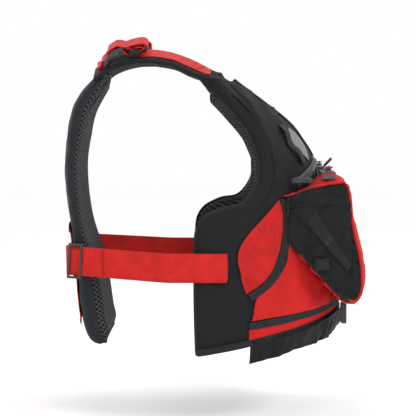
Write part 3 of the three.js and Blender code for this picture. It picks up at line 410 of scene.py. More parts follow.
def spacer_mesh():
    """Two families of slanted bands on the cut's metres; where either is high lies the thread, and between
    them the holes are painted near-black as shade.
    """
    material, nodes, links, skin = shader("spacer_mesh", (0.012, 0.013, 0.014), 0.8)
    where = nodes.new("ShaderNodeTexCoord")
    families = [bands(nodes, links, where, turn, NET_PITCH, 0.4) for turn in (NET_SLANT, -NET_SLANT)]
    strand = crossed(nodes, links, families, "MAXIMUM")
    ramp = nodes.new("ShaderNodeValToRGB")
    ramp.color_ramp.elements[0].position, ramp.color_ramp.elements[1].position = 0.78, 0.97
    # Painted shade: the holes between the threads are painted near-black for the shade inside them.
    ramp.color_ramp.elements[0].color = (0.006, 0.0065, 0.007, 1)
    ramp.color_ramp.elements[1].color = (0.075, 0.08, 0.088, 1)
    links.new(strand, ramp.inputs["Fac"])
    links.new(ramp.outputs["Color"], skin.inputs["Base Color"])
    bump = bump_of(nodes, links, strand, 0.0012)
    links.new(bump.outputs["Normal"], skin.inputs["Normal"])
    return material


net = spacer_mesh()
back_liner = skin_of("back_net_liner", inner, -n, 0.0013, net)
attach(back_liner, "vest")
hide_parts("back_mesh_liner")


# ---- Back panel: seam binding and red lower panel ------------------------------------------------
# A narrow folded tape closes the seam between cover and mesh all round. The red nylon panel is
# sewn over the lower half of the cover's outer face.
def tube(name, path, half_wide, half_thick, up, finish, closed=False, sides=12, power=2.0):
    """An oval section carried along a path: wide across the path in the plane of up, thin along up.
    power 2 is an ellipse, more is a flatter tape with rounded edges."""
    ahead = np.gradient(path, axis=0)
    if closed:
        ahead = np.roll(path, -1, 0) - np.roll(path, 1, 0)
    ahead /= np.linalg.norm(ahead, axis=1, keepdims=True)
    side = np.cross(ahead, up)
    side /= np.linalg.norm(side, axis=1, keepdims=True)
    rise = np.cross(side, ahead)
    turn = np.linspace(0, 2 * np.pi, sides, endpoint=False)
    c, s = np.cos(turn), np.sin(turn)
    wide = np.sign(c) * np.abs(c)**(2 / power)
    thin = np.sign(s) * np.abs(s)**(2 / power)
    wide_here = np.broadcast_to(half_wide, len(path))[:, None, None]
    thin_here = np.broadcast_to(half_thick, len(path))[:, None, None]
    rings = (path[:, None] + side[:, None] * wide[None, :, None] * wide_here
             + rise[:, None] * thin[None, :, None] * thin_here)
    count = len(path)
    points = rings.reshape(-1, 3)
    length = walked(path)
    uv = np.stack([np.broadcast_to(wide * np.mean(half_wide), (count, sides)),
                   np.broadcast_to(length[:, None], (count, sides))], -1).reshape(-1, 2)
    steps = count if closed else count - 1
    i, j = np.meshgrid(np.arange(steps), np.arange(sides), indexing="ij")
    here, ahead_ring, beside = i * sides, ((i + 1) % count) * sides, (j + 1) % sides
    faces = np.stack([here + j, here + beside, ahead_ring + beside, ahead_ring + j], -1).reshape(-1, 4)
    if not closed:
        points = np.concatenate([points, path[:1], path[-1:]])
        uv = np.concatenate([uv, [[0, 0]], [[0, length[-1]]]])
        k = np.arange(0, sides, 2)
        last = (count - 1) * sides
        first_cap = np.stack([(k + 2) % sides, k + 1, k, np.full_like(k, count * sides)], -1)
        last_cap = np.stack([last + k, last + k + 1, last + (k + 2) % sides,
                             np.full_like(k, count * sides + 1)], -1)
        faces = np.concatenate([faces, first_cap, last_cap])
    return closed_piece(name, points, faces, finish, uv)


def rim_of(grid):
    """The grid's border as one closed path."""
    return np.concatenate([grid[0, :-1], grid[:-1, -1], grid[-1, :0:-1], grid[:0:-1, 0]])


def at_length(where, length, path):
    """Points at given distances along a path, in a straight line between its own points."""
    return np.stack([np.interp(where, length, column) for column in path.T], 1)


def even_path(path, step, closed=False):
    """The same path walked in equal steps of about step metres."""
    p = np.concatenate([path, path[:1]]) if closed else path
    length = walked(p)
    count = max(4, int(round(length[-1] / step)))
    where = np.linspace(0, length[-1], count + 1)[:count if closed else count + 1]
    return at_length(where, length, p)


def ribbed(name, colour, rib, slant=0.0, depth=0.0003):
    """Woven webbing: raised ribs across its length on the tape's own metres, fine yarn between, painted
    shade between the ribs.
    """
    material, nodes, links, skin = shader(name, colour, 0.55, 0.04)
    where, slow, ramp = mottle(nodes, links, colour, 0.14, 55)
    wave = bands(nodes, links, where, math.pi / 2 + slant, rib, 0.5)
    yarn = bands(nodes, links, where, 0, 0.0011, 1.0)
    # Painted shade: the colour is darkened by 0.4 where the ribs are low.
    painted_hollow_shade(nodes, links, skin, ramp.outputs["Color"], wave.outputs["Fac"], 0.4)
    ribs = bump_of(nodes, links, wave.outputs["Fac"], depth)
    fine = bump_of(nodes, links, yarn.outputs["Fac"], depth * 0.4, 0.7, ribs)
    links.new(fine.outputs["Normal"], skin.inputs["Normal"])
    return material


black_tape = ribbed("black_tape", (0.020, 0.0205, 0.022), rib=0.0016)
red_cloth = woven("red_nylon", (0.60, 0.013, 0.012), weave_shade=0.22, drift=0.10, roughness=0.62, sheen=0.03)
ribbed_red = ribbed("red_ribbed_nylon", (0.58, 0.013, 0.012), rib=0.0026, slant=-1.42, depth=0.0004)
red_webbing = ribbed("red_webbing", (0.64, 0.016, 0.013), rib=0.0042, slant=0.30, depth=0.0006)
flat_webbing = ribbed("red_side_webbing", (0.66, 0.016, 0.013), rib=0.0019)

seam = even_path(rim_of(back_middle), 0.005, True)
seam_out = seam - np.array([0, 0, 0.235])
seam_out[:, 1] = 0
seam_out /= np.linalg.norm(seam_out, axis=1, keepdims=True)
back_binding = tube("back_seam_binding", seam, 0.0042, 0.0013, seam_out, black_tape, True, 12, 3.0)
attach(back_binding, "vest")

red_u, red_z = np.meshgrid(2 * edge_steps(30, 0.04) - 1, 0.062 + 0.145 * edge_steps(26, 0.05))
red_face = np.stack([red_u * 0.90 * back_half(red_z),
                     smooth_through(red_z, BACK_LINE) - BACK_LEAD * (red_u * 0.9)**2 + 0.0005, red_z], -1)
red_n = np.broadcast_to([0.0, 1.0, 0.0], red_face.shape)
red_face[..., 1] += 0.0012 + 0.0006 * creases(red_face, 0.04, 5)
back_red = skin_of("back_lower_red", red_face, red_n, 0.0012, red_cloth)
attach(back_red, "vest")
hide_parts("back_red_panel")

for name, z in (("top", 0.2065), ("bottom", 0.0640)):
    u = np.linspace(-0.885, 0.885, 60)
    route = np.stack([u * back_half(z), smooth_through(z, BACK_LINE) - BACK_LEAD * u**2 + 0.0030,
                      np.full(60, z)], 1)
    trim = tube(f"back_trim_{name}", route, 0.0055, 0.0011, np.array([[0.0, 1.0, 0.0]]), black_tape,
                False, 12, 4.0)
    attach(trim, "vest")


# ---- Front panels: the worn shape, foam, cover and liner -----------------------------------------
# Each front half is a foam slab about 36 mm thick that thins into a side wing, in a black nylon
# cover with spacer mesh towards the wearer. It wraps the chest from the zip to under the arm.
CHEST_HALF, TOP_HALF = 0.178, 0.130
FORM_CENTRE_Y = 0.020
PLAN_POWER = 2.3
ZIP_SLOPE = 0.187


def zip_line(z):
    """Front face at the middle plane, straight behind the main zip."""
    return -0.164 - (0.315 - z) * ZIP_SLOPE


FRONT_LINE = [(-0.005, -0.186), (0.030, -0.197), (0.056, -0.204),
              *((z, zip_line(z)) for z in (0.081, 0.083, 0.200, 0.304, 0.318)),
              (0.342, -0.149), (0.370, -0.129), (0.405, -0.088), (0.443, -0.038), (0.460, -0.014)]
HALF_WIDTH = [(-0.005, CHEST_HALF - 0.004), (0.120, CHEST_HALF), (0.300, CHEST_HALF),
              (0.350, CHEST_HALF - 0.010), (0.400, TOP_HALF + 0.016), (0.440, TOP_HALF)]


def form_face(theta, z):
    """The front's outer face on the right: at each height a superellipse quarter in plan, theta 0
    at the middle and a quarter turn at the side."""
    e = 2 / PLAN_POWER
    s, c = np.sin(theta), np.cos(theta)
    depth = FORM_CENTRE_Y - smooth_through(z, FRONT_LINE)
    return np.stack([-smooth_through(z, HALF_WIDTH) * np.sign(s) * np.abs(s)**e,
                     FORM_CENTRE_Y - depth * np.sign(c) * np.abs(c)**e, z + 0 * theta], -1)


def form_out(theta, z):
    """Unit outward direction of the front's face, from the cross product of small steps."""
    du = form_face(theta + 0.02, z) - form_face(theta - 0.02, z)
    dv = form_face(theta, z + 0.002) - form_face(theta, z - 0.002)
    n = -np.cross(du, dv)
    return n / np.linalg.norm(n, axis=-1, keepdims=True)


def form(theta, z, lift):
    """The front's face moved out by lift metres."""
    return form_face(theta, z) + form_out(theta, z) * np.asarray(lift)[..., None]


def turn_at_y(y, z):
    """theta of the point of the face at a given y, for outlines drawn in side view."""
    c = (FORM_CENTRE_Y - y) / (FORM_CENTRE_Y - smooth_through(z, FRONT_LINE))
    return np.arccos(np.clip(np.sign(c) * np.abs(c)**(PLAN_POWER / 2), -1, 1))


def turn_at_x(x, z):
    """theta of the point of the face at a given distance from the middle."""
    return np.arcsin(np.clip((x / smooth_through(z, HALF_WIDTH))**(PLAN_POWER / 2), 0, 1))


def knots_even(knots, count):
    """A smooth curve through the knots, at count even parameters or at given ones."""
    t = np.linspace(0, 1, count) if np.isscalar(count) else count
    k = np.linspace(0, 1, len(knots))
    return np.stack([smooth_through(t, np.stack([k, column], 1)) for column in knots.T], 1)


def mirror(points, side):
    """The same points on the wearer's right (side -1) or left (side 1)."""
    return points * np.array([-side, 1, 1])


SIDES = ((-1, "right"), (1, "left"))
front_inner = np.array([(5, 76), (5, 120), (5, 170), (5, 210), (5, 240), (5, 262), (5, 285), (8, 312),
                        (18, 342), (32, 368), (48, 400), (60, 424), (65, 441)]) * MM
front_outer = np.array([(22, 14), (24, 80), (24, 150), (18, 215), (-14, 238), (-50, 247), (-76, 280),
                        (-80, 310), (-74, 340), (-60, 370), (-40, 395), (-12, 420), (4, 434)]) * MM
inner_turn = np.stack([turn_at_x(front_inner[:, 0], front_inner[:, 1]), front_inner[:, 1]], 1)
outer_turn = np.stack([turn_at_y(front_outer[:, 0], front_outer[:, 1]), front_outer[:, 1]], 1)
front_a, front_b = edge_steps(56, 0.06), edge_steps(96, 0.03)


def between(low, high, a):
    """A grid from one path to another: each row runs in a straight line, at the shares a."""
    return low[:, None] * (1 - a[None, :, None]) + high[:, None] * a[None, :, None]


front_turn = between(knots_even(inner_turn, front_b), knots_even(outer_turn, front_b), front_a)
FOAM_DEPTH, WING_DEPTH, COVER_DEPTH = 0.036, 0.009, 0.009
foam_depth = FOAM_DEPTH + (WING_DEPTH - FOAM_DEPTH) * ease(front_turn[..., 0], 0.85, 1.3)
panel_depth = foam_depth + COVER_DEPTH
front_middle = form(front_turn[..., 0], front_turn[..., 1], -panel_depth / 2)
FRONT_EDGES = (0.012, 0.008, 0.004, 0.017)

for side, tag in SIDES:
    middle = mirror(front_middle, side)
    depth, widths = panel_depth, FRONT_EDGES
    if across_grid(middle)[40, 20, 1] > 0:
        middle, depth = middle[:, ::-1], depth[:, ::-1]
        widths = (*FRONT_EDGES[:2], FRONT_EDGES[3], FRONT_EDGES[2])
    outer, inner = pillow(middle, depth - 0.006, widths)[:2]
    front_foam = grid_shell(f"front_foam_slab_{tag}", outer, inner, foam)
    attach(front_foam, "vest")
    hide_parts(f"front_foam_{tag}")
    outer, inner, n, crown = pillow(middle, depth - 0.0035, widths)
    stretched = middle * [1.0, 1.6, 0.7]
    chest = ease(middle[..., 2], 0.255, 0.30) * (1 - ease(-middle[..., 1], 0.090, 0.112))
    soft = np.maximum(creases(stretched, 0.045, 11) * (0.0006 + 0.0030 * chest), -0.0004)[..., None]
    soft = soft * crown[..., None]
    cover = skin_of(f"front_outer_cover_{tag}", outer + n * soft, n, 0.0013, black_cloth)
    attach(cover, "vest")
    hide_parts(f"front_cover_{tag}")
    liner = skin_of(f"front_net_liner_{tag}", inner, -n, 0.0013, net)
    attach(liner, "vest")
    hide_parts(f"front_mesh_liner_{tag}")
    seam = even_path(rim_of(middle), 0.005, True)
    away = seam - np.array([side * 0.09, -0.10, 0.24])
    away /= np.linalg.norm(away, axis=1, keepdims=True)
    binding = tube(f"front_seam_binding_{tag}", seam, 0.0036, 0.0013, away, black_tape, True, 12, 3.0)
    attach(binding, "vest")


# ---- Front panels: red side panel, curved binding, red lower panel, hem --------------------------
# Nylon panels sewn flat on the cover below the armhole. A folded black tape follows the curved
# joint between the two red panels. A tape, a red strip and the hem binding run along the bottom.
def form_patch(name, rows, count_a, count_b, lift, thick, cloth, side, wrinkle=0.0004, seed=1, edge=0.05):
    """A panel on the front's face. rows are ((y, z), (y, z)) ends in millimetres, in side view."""
    ends = np.array(rows, float) * MM
    turns = [np.stack([turn_at_y(e[:, 0], e[:, 1]), e[:, 1]], 1) for e in (ends[:, 0], ends[:, 1])]
    a, b = edge_steps(count_a, edge), edge_steps(count_b, edge)
    grid = between(knots_even(turns[0], b), knots_even(turns[1], b), a)
    n = form_out(grid[..., 0], grid[..., 1])
    face = form_face(grid[..., 0], grid[..., 1]) + n * lift
    face = face + n * (wrinkle * creases(face, 0.03, seed))[..., None]
    return skin_of(name, mirror(face, side), mirror(n, side), thick, cloth)


RED_REAR = [(-54, 109), (-48, 126), (-45, 142), (-41, 162), (-45, 183), (-62, 207), (-86, 232),
            (-103, 252)]
RED_FRONT = [(-57, 112), (-74, 122), (-88, 136), (-99, 157), (-106, 182), (-109, 207), (-109, 232),
             (-105, 252)]
BAND_REAR = [(-56, 110), (-74, 121), (-88, 135), (-99, 156), (-106, 181), (-109, 207), (-109, 232),
             (-105, 254)]
BAND_FRONT = [(-62, 98), (-76, 108), (-94, 123), (-109, 144), (-116, 165), (-120, 192), (-119, 225),
              (-118, 256)]
LOWER_RED = [((-202, 96), (-62, 68)), ((-200, 106), (-70, 104)), ((-188, 124), (-94, 123)),
             ((-170, 142), (-110, 145)), ((-148, 166), (-117, 166)), ((-124, 189), (-119, 190))]
LOWER_TAPE = [((-203, 90), (-58, 54)), ((-203, 99), (-58, 66))]
HEM_STRIP = [((-202, 80), (-58, 38)), ((-203, 92), (-58, 56))]
HEM_BINDING = [((-201, 76), (20, 14)), ((-202, 85), (20, 25))]

for side, tag in SIDES:
    red_side = form_patch(f"side_red_{tag}", list(zip(RED_FRONT, RED_REAR)), 14, 30, 0.0010, 0.0014,
                          ribbed_red, side, 0.0010, 21)
    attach(red_side, "vest")
    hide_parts(f"red_side_panel_{tag}")
    band = form_patch(f"curved_binding_{tag}", list(zip(BAND_FRONT, BAND_REAR)), 5, 44, 0.0016, 0.0018,
                      black_tape, side, 0.0002, 22, 0.2)
    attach(band, "vest")
    lower = form_patch(f"lower_red_{tag}", LOWER_RED, 34, 26, 0.0014, 0.0014, red_cloth, side, 0.0016, 23)
    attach(lower, "vest")
    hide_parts(f"red_lower_panel_{tag}")
    for name, cloth, slot_name, lift, rows in (
            ("lower_tape", black_tape, "black_webbing", 0.0016, LOWER_TAPE),
            ("red_hem_strip", red_cloth, "red_cloth", 0.0004, HEM_STRIP),
            ("hem_binding", black_tape, "black_webbing", 0.0014, HEM_BINDING)):
        strip = form_patch(f"{name}_{tag}", rows, 70, 5, lift, 0.0016, cloth, side, 0.0003, 31, 0.03)
        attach(strip, "vest")


# ---- Waist skirt ---------------------------------------------------------------------------------
# A loose band of thin black nylon that hangs below the hem from near the zip to under the arm,
# gathered so that it hangs in small vertical folds.
SKIRT_TOP = np.array([(-201, 86), (-182, 72), (-165, 63), (-131, 50), (-86, 40), (-60, 36)]) * MM
SKIRT_LOW = np.array([(-196, 46), (-167, 31), (-140, 24), (-117, 18), (-90, 9), (-60, 0)]) * MM
for side, tag in SIDES:
    a, b = edge_steps(150, 0.01), edge_steps(26, 0.04)
    upper = knots_even(np.stack([turn_at_y(*SKIRT_TOP.T), SKIRT_TOP[:, 1]], 1), a)
    lower = knots_even(np.stack([turn_at_y(*SKIRT_LOW.T), SKIRT_LOW[:, 1]], 1), a)
    both = lower[None] * (1 - b[:, None, None]) + upper[None] * b[:, None, None]
    turn, z = both[..., 0], both[..., 1]
    free = 1 - b[:, None]
    gathers = (0.0005 + 0.0010 * free) * np.sin(turn * 30 + 2.2 * np.sin(turn * 9) + 1.5 * free)
    n = form_out(turn, z)
    over_belt = 0.0070 * (1 - ease(turn, 1.00, 1.12)) + 0.0024
    face = form_face(turn, z) + n * (gathers + over_belt - 0.0050 * free)[..., None]
    face = face + n * (0.0018 * creases(face * [1, 1, 0.5], 0.022, 41))[..., None]
    skirt = skin_of(f"gathered_skirt_{tag}", mirror(face, side), mirror(n, side), 0.0011, black_cloth)
    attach(skirt, "vest")
    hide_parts(f"waist_skirt_{tag}")


# ---- Chest: reflective patch and loops -----------------------------------------------------------
# A lens of grey reflective film sewn to each breast, under a black tape bartacked at both ends and
# in the middle so that it makes two loops. A seam tape runs beside the neck edge above them.
def reflective_film():
    """Grey film with fine glass beads: a slight mottle and a beaded surface."""
    colour = (0.13, 0.135, 0.14)
    material, nodes, links, skin = shader("reflective_film", colour, 0.42, gloss=0.5)
    where, beads, ramp = mottle(nodes, links, colour, 0.2, 700)
    links.new(ramp.outputs["Color"], skin.inputs["Base Color"])
    links.new(bump_of(nodes, links, beads.outputs["Fac"], 0.0002).outputs["Normal"], skin.inputs["Normal"])
    return material


def sewing_thread(name, colour):
    """Twisted thread: one even colour with a fine grain."""
    material, nodes, links, skin = shader(name, colour, 0.6)
    grain = mottle(nodes, links, colour, 0.2, 900)[1]
    links.new(bump_of(nodes, links, grain.outputs["Fac"], 0.0002).outputs["Normal"], skin.inputs["Normal"])
    return material


film = reflective_film()
thread = sewing_thread("black_thread", (0.016, 0.016, 0.018))
red_thread = sewing_thread("red_thread", (0.45, 0.012, 0.012))


def on_face(knots, count, lift, side):
    """A path on the front's face through side-view (y, z) millimetre knots, and its normals."""
    line = knots_even(np.array(knots, float) * MM, count)
    turn = turn_at_y(line[:, 0], line[:, 1])
    n = form_out(turn, line[:, 1])
    return mirror(form_face(turn, line[:, 1]) + n * lift, side), mirror(n, side)


BEAD_POINTS = np.array([(-1, 0, 0), (-0.6, 0.8, 0.5), (-0.6, -0.8, 0.5), (0.6, 0.8, 0.5),
                        (0.6, -0.8, 0.5), (1, 0, 0), (-0.6, 0, -0.8), (0.6, 0, -0.8)])
BEAD_FACES = [(1, 3, 4, 2), (3, 1, 6, 7), (2, 4, 7, 6), (0, 1, 2), (0, 6, 1), (0, 2, 6), (5, 4, 3),
              (5, 3, 7), (5, 7, 4)]


def stitches(name, path, up, pitch, long, finish, rise=0.0003):
    """A row of stitches: one flattened eight-sided bead for each pitch of the path, merged."""
    length = walked(path)
    where = np.arange(pitch / 2, length[-1], pitch)
    at, n = at_length(where, length, path), at_length(where, length, up)
    ahead = at_length(where + 0.0005, length, path) - at
    ahead /= np.maximum(np.linalg.norm(ahead, axis=1, keepdims=True), 1e-9)
    side_way = np.cross(n, ahead)
    bead = BEAD_POINTS[None] * [long / 2, 0.00045, 0.0004]
    points = (at[:, None] + ahead[:, None] * bead[..., :1] + side_way[:, None] * bead[..., 1:2]
              + n[:, None] * (bead[..., 2:] + rise))
    faces = [[corner + 8 * k for corner in face] for k in range(len(at)) for face in BEAD_FACES]
    mesh = bpy.data.meshes.new(name)
    mesh.from_pydata(points.reshape(-1, 3).tolist(), [], faces)
    shape = bmesh.new()
    shape.from_mesh(mesh)
    bmesh.ops.recalc_face_normals(shape, faces=shape.faces)
    shape.to_mesh(mesh)
    shape.free()
    mesh.materials.append(finish)
    piece = bpy.data.objects.new(name, mesh)
    bpy.context.collection.objects.link(piece)
    return piece


REFLECTIVE_LENS = [((-120, 361), (-121, 362)), ((-122, 350), (-132, 353)), ((-128, 337), (-143, 339)),
                   ((-138, 325), (-150, 324)), ((-151, 312), (-152, 313))]
LOOP_TAPE = [(-108, 366), (-114, 352), (-122, 336), (-132, 323), (-144, 309)]
ARMHOLE_SEAM = [(-24, 424), (-50, 402), (-73, 374), (-91, 342), (-99, 312), (-99, 289), (-94, 268),
                (-85, 252), (-73, 240)]
RED_SEAMS = {"seam_a": [(-126, 174), (-150, 148), (-172, 126), (-189, 109)],
             "seam_b": [(-122, 169), (-146, 143), (-168, 121), (-185, 105)]}

for side, tag in SIDES:
    patch = form_patch(f"reflective_patch_{tag}", REFLECTIVE_LENS, 10, 20, 0.0012, 0.0007, film, side,
                       0.0001, 3)
    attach(patch, "vest")
    line, n = on_face(LOOP_TAPE, 61, 0.0, side)
    share = np.linspace(0, 2, 61) % 1
    loop = line + n * (0.0024 + 0.0042 * np.sin(np.pi * share)**2)[:, None]
    chain = tube(f"loop_tape_{tag}", loop, 0.0062, 0.0011, n, black_tape, False, 16, 4.0)
    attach(chain, "vest")
    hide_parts(f"daisy_chain_{tag}")
    edge = knots_even(inner_turn, np.linspace(0.60, 0.985, 60)) + [0.085, 0]
    n = mirror(form_out(edge[:, 0], edge[:, 1]), side)
    line = mirror(form_face(edge[:, 0], edge[:, 1]), side) + n * 0.0006
    strip = tube(f"neck_tape_{tag}", line, 0.0042, 0.0012, n, black_tape, False, 12, 3.0)
    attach(strip, "vest")
    line, n = on_face(ARMHOLE_SEAM, 90, 0.0004, side)
    seam = tube(f"armhole_seam_{tag}", line - n * 0.0012, 0.0016, 0.0011, n, black_cloth, False, 10)
    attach(seam, "vest")
    line = line + np.cross(np.gradient(line, axis=0) / 0.003, n) * 0.0028
    row = stitches(f"armhole_stitches_{tag}", line, n, 0.0034, 0.0025, thread)
    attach(row, "vest")
    for name, knots in RED_SEAMS.items():
        line, n = on_face(knots, 40, 0.0026, side)
        row = stitches(f"red_{name}_{tag}", line, n, 0.0032, 0.0024, red_thread)
        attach(row, "vest")


# ---- Chest zips ----------------------------------------------------------------------------------
# A coarse moulded-tooth zip closes each chest pocket, sloping down and out. Its slider hangs a
# flecked cord loop that ends in a moulded tab lying on the cargo pocket's lid.
grey_tape = ribbed("grey_zip_tape", (0.105, 0.115, 0.125), rib=0.0012, depth=0.0002)


def plastic(name, colour, roughness):
    """Moulded acetal: fine spark-eroded grain and a faint worn drift in gloss."""
    material, nodes, links, skin = shader(name, colour, roughness, coat=0.08, gloss=0.5)
    where, slow, ramp = mottle(nodes, links, colour, 0.12, 70)
    links.new(ramp.outputs["Color"], skin.inputs["Base Color"])
    fine = nodes.new("ShaderNodeTexNoise")
    fine.inputs["Scale"].default_value = 1800
    links.new(where.outputs["Object"], fine.inputs["Vector"])
    links.new(bump_of(nodes, links, fine.outputs["Fac"], 0.00012).outputs["Normal"], skin.inputs["Normal"])
    gloss_drift(nodes, links, skin, slow, roughness - 0.1, roughness + 0.12)
    return material


tooth_grey = plastic("zip_tooth_grey", (0.105, 0.11, 0.118), 0.35)
dark_plastic = plastic("dark_plastic", (0.020, 0.021, 0.024), 0.4)
tab_plastic = plastic("pull_tab_plastic", (0.020, 0.020, 0.021), 0.5)


TOOTH_POINTS = np.array([(-1, -1, 0), (1, -1, 0), (1, 1, 0), (-1, 1, 0), (-0.7, -0.8, 1),
                         (0.7, -0.8, 1), (0.7, 0.8, 1), (-0.7, 0.8, 1)])
TOOTH_FACES = np.array([(0, 3, 2, 1), (4, 5, 6, 7), (0, 1, 5, 4), (1, 2, 6, 5), (2, 3, 7, 6),
                        (3, 0, 4, 7)])


def zip_teeth(name, path, up, wide, high, pitch, finish, halves=(-1, 1)):
    """Moulded teeth: tapered blocks on alternate sides of the path, two to a pitch, merged."""
    length = walked(path)
    all_points, all_faces = [], []
    for half in halves:
        where = np.arange(pitch * (0.5 if half < 0 else 1.0), length[-1], pitch)
        at, n = at_length(where, length, path), at_length(where, length, up)
        ahead = at_length(where + 0.001, length, path) - at
        ahead /= np.maximum(np.linalg.norm(ahead, axis=1, keepdims=True), 1e-9)
        side_way = np.cross(n, ahead)
        size = TOOTH_POINTS * [pitch * 0.29, wide * 0.34, high]
        centre = at + side_way * (half * wide * 0.16)
        points = (centre[:, None] + ahead[:, None] * size[None, :, :1]
                  + side_way[:, None] * size[None, :, 1:2] + n[:, None] * size[None, :, 2:])
        first = sum(len(p) for p in all_points)
        all_points.append(points.reshape(-1, 3))
        all_faces.append((TOOTH_FACES + first + 8 * np.arange(len(at))[:, None, None]).reshape(-1, 4))
    return closed_piece(name, np.concatenate(all_points), np.concatenate(all_faces), finish, None, False)


def softened_copy(node, width, finish, name):
    """A CAD node's copy with its doubles merged and its sharp edges rounded by width metres."""
    copy = bpy.data.objects.new(name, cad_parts[node].data.copy())
    bpy.context.collection.objects.link(copy)
    shape = bmesh.new()
    shape.from_mesh(copy.data)
    bmesh.ops.remove_doubles(shape, verts=shape.verts, dist=0.00001)
    bmesh.ops.dissolve_limit(shape, angle_limit=0.02, verts=shape.verts, edges=shape.edges)
    shape.to_mesh(copy.data)
    shape.free()
    rounding = copy.modifiers.new("rounding", "BEVEL")
    rounding.width = width
    rounding.segments = 3
    rounding.limit_method = "ANGLE"
    rounding.angle_limit = 0.6
    copy.data.materials.clear()
    copy.data.materials.append(finish)
    copy.data.polygons.foreach_set("use_smooth", np.ones(len(copy.data.polygons), bool))
    sharp = copy.modifiers.new("shading", "WEIGHTED_NORMAL")
    sharp.keep_sharp = True
    return copy


for side, tag in SIDES:
    turn = np.linspace(0.15, 0.69, 60)
    chest_z = 0.309 + (0.277 - 0.309) * (turn - 0.16) / 0.52
    n = mirror(form_out(turn, chest_z), side)
    middle = mirror(form_face(turn, chest_z), side)
    tape = tube(f"chest_zip_tape_{tag}", middle + n * 0.0018, 0.0078, 0.0009, n, grey_tape, False, 16, 5.0)
    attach(tape, "vest")
    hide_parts(f"chest_zip_{tag}")
    teeth = zip_teeth(f"chest_zip_teeth_{tag}", middle + n * 0.0024, n, 0.0078, 0.0030, 0.0036, tooth_grey)
    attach(teeth, "vest")
    slider = softened_copy(f"chest_zip_slider_{tag}", 0.0005, dark_plastic, f"chest_slider_cast_{tag}")
    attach(slider, f"chest_slider_{tag}")
    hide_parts(f"chest_zip_slider_{tag}")


def flecked_cord():
    """Braided cord: slanted bumps for the braid and pale flecks at the cells' middles."""
    material, nodes, links, skin = shader("flecked_cord", (0.03, 0.03, 0.033), 0.6, 0.05)
    where = nodes.new("ShaderNodeTexCoord")
    braid = nodes.new("ShaderNodeTexWave")
    braid.bands_direction = "DIAGONAL"
    braid.inputs["Scale"].default_value = 260
    braid.inputs["Distortion"].default_value = 1.0
    links.new(where.outputs["Object"], braid.inputs["Vector"])
    fleck = nodes.new("ShaderNodeTexVoronoi")
    fleck.inputs["Scale"].default_value = 700
    links.new(where.outputs["Object"], fleck.inputs["Vector"])
    ramp = nodes.new("ShaderNodeValToRGB")
    pale, dark = ramp.color_ramp.elements
    pale.position, dark.position = 0.28, 0.36
    pale.color, dark.color = (0.16, 0.16, 0.17, 1), (0.02, 0.02, 0.022, 1)
    links.new(fleck.outputs["Distance"], ramp.inputs["Fac"])
    links.new(ramp.outputs["Color"], skin.inputs["Base Color"])
    links.new(bump_of(nodes, links, braid.outputs["Fac"], 0.0005).outputs["Normal"], skin.inputs["Normal"])
    return material


flecked = flecked_cord()

for side, tag in SIDES:
    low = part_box(f"chest_zip_pull_{tag}")[0]
    pin = np.array([side * 0.11919, -0.14822, 0.28196])
    tab_at = np.array([side * 0.140, low[1] + 0.0175, low[2] + 0.005])
    knots = np.array([pin, pin + [side * 0.0075, 0.003, -0.001],
                      [side * 0.134, tab_at[1] - 0.002, pin[2] - 0.002], tab_at + [0, 0, 0.005], tab_at])
    for k, shift in enumerate((-0.0016, 0.0016)):
        apart = np.outer([0.4, 1, 1, 1, 0.6], [0, shift, 0])
        cord = tube(f"chest_pull_cord_{k}_{tag}", knots_even(knots + apart, 24), 0.0013, 0.0013,
                    np.array([[0.0, 0.3, 1.0]]), flecked)
        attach(cord, f"chest_pull_{tag}")
        if k == 0:
            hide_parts(f"chest_zip_pull_{tag}")
    long = np.linspace(-1, 1, 25)
    tab_path = tab_at + np.stack([0 * long, -0.0165 * long, 0.0018 * (1 - long**2)], 1)
    plump = 1 - np.abs(long)**6 * 0.5
    tab = tube(f"chest_pull_tab_{tag}", tab_path, 0.0048 * plump, 0.0022 * plump,
               np.array([[1.0, 0, 0]]), tab_plastic, False, 16, 3.0)
    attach(tab, f"chest_pull_{tag}")


# ---- Main zip ------------------------------------------------------------------------------------
# Coarse moulded teeth on grey tapes, sewn to both front edges. The slider's stiff black pull
# stands up and forward.
rise = np.linspace(0.084, 0.304, 60)
for side, tag in SIDES:
    middle = np.stack([np.full(60, side * 0.0105), zip_line(rise) - 0.0018, rise], 1)
    tape = tube(f"main_zip_tape_{tag}", middle, 0.0068, 0.0009, np.array([[0.0, -1.0, ZIP_SLOPE]]),
                grey_tape, False, 16, 5.0)
    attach(tape, "vest")
    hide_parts(f"main_zip_{tag}")
    middle = np.stack([np.zeros(60), zip_line(rise) - 0.0022, rise], 1)
    teeth = zip_teeth(f"main_zip_teeth_{tag}", middle, np.tile([[0.0, -0.983, 0.184]], (60, 1)),
                      0.0075, 0.0026, 0.0034, tooth_grey, (-side,))
    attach(teeth, "vest")
slider = softened_copy("main_zip_slider", 0.0005, dark_plastic, "main_slider_cast")
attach(slider, "main_slider")
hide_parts("main_zip_slider")
grip = softened_copy("main_zip_pull", 0.0009, dark_plastic, "main_pull_grip")
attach(grip, "main_pull")
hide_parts("main_zip_pull")


# ---- Cargo pockets: cloth walls ------------------------------------------------------------------
# A deep pocket on each lower front: red nylon front and underside, black nylon side, red lid. The
# walls are cut a little larger than their outline, so the held edges leave them full and creased.
POCKET_FRONT = np.array([(92, -226), (110, -232), (135, -232), (163, -229), (197, -221), (225, -216),
                         (256, -214), (276, -209)]) * MM
POCKET_IN, POCKET_OUT = 0.026, 0.1475
UNDER_LOW, UNDER_Y, UNDER_RISE = 0.095, -0.206, 1.083
POCKET_TOP = 0.277
POCKET_COLUMNS, UNDER_ROWS, WALL_ROWS, LID_ROWS = 44, 24, 44, 40


SETTLING_FRAMES = 22


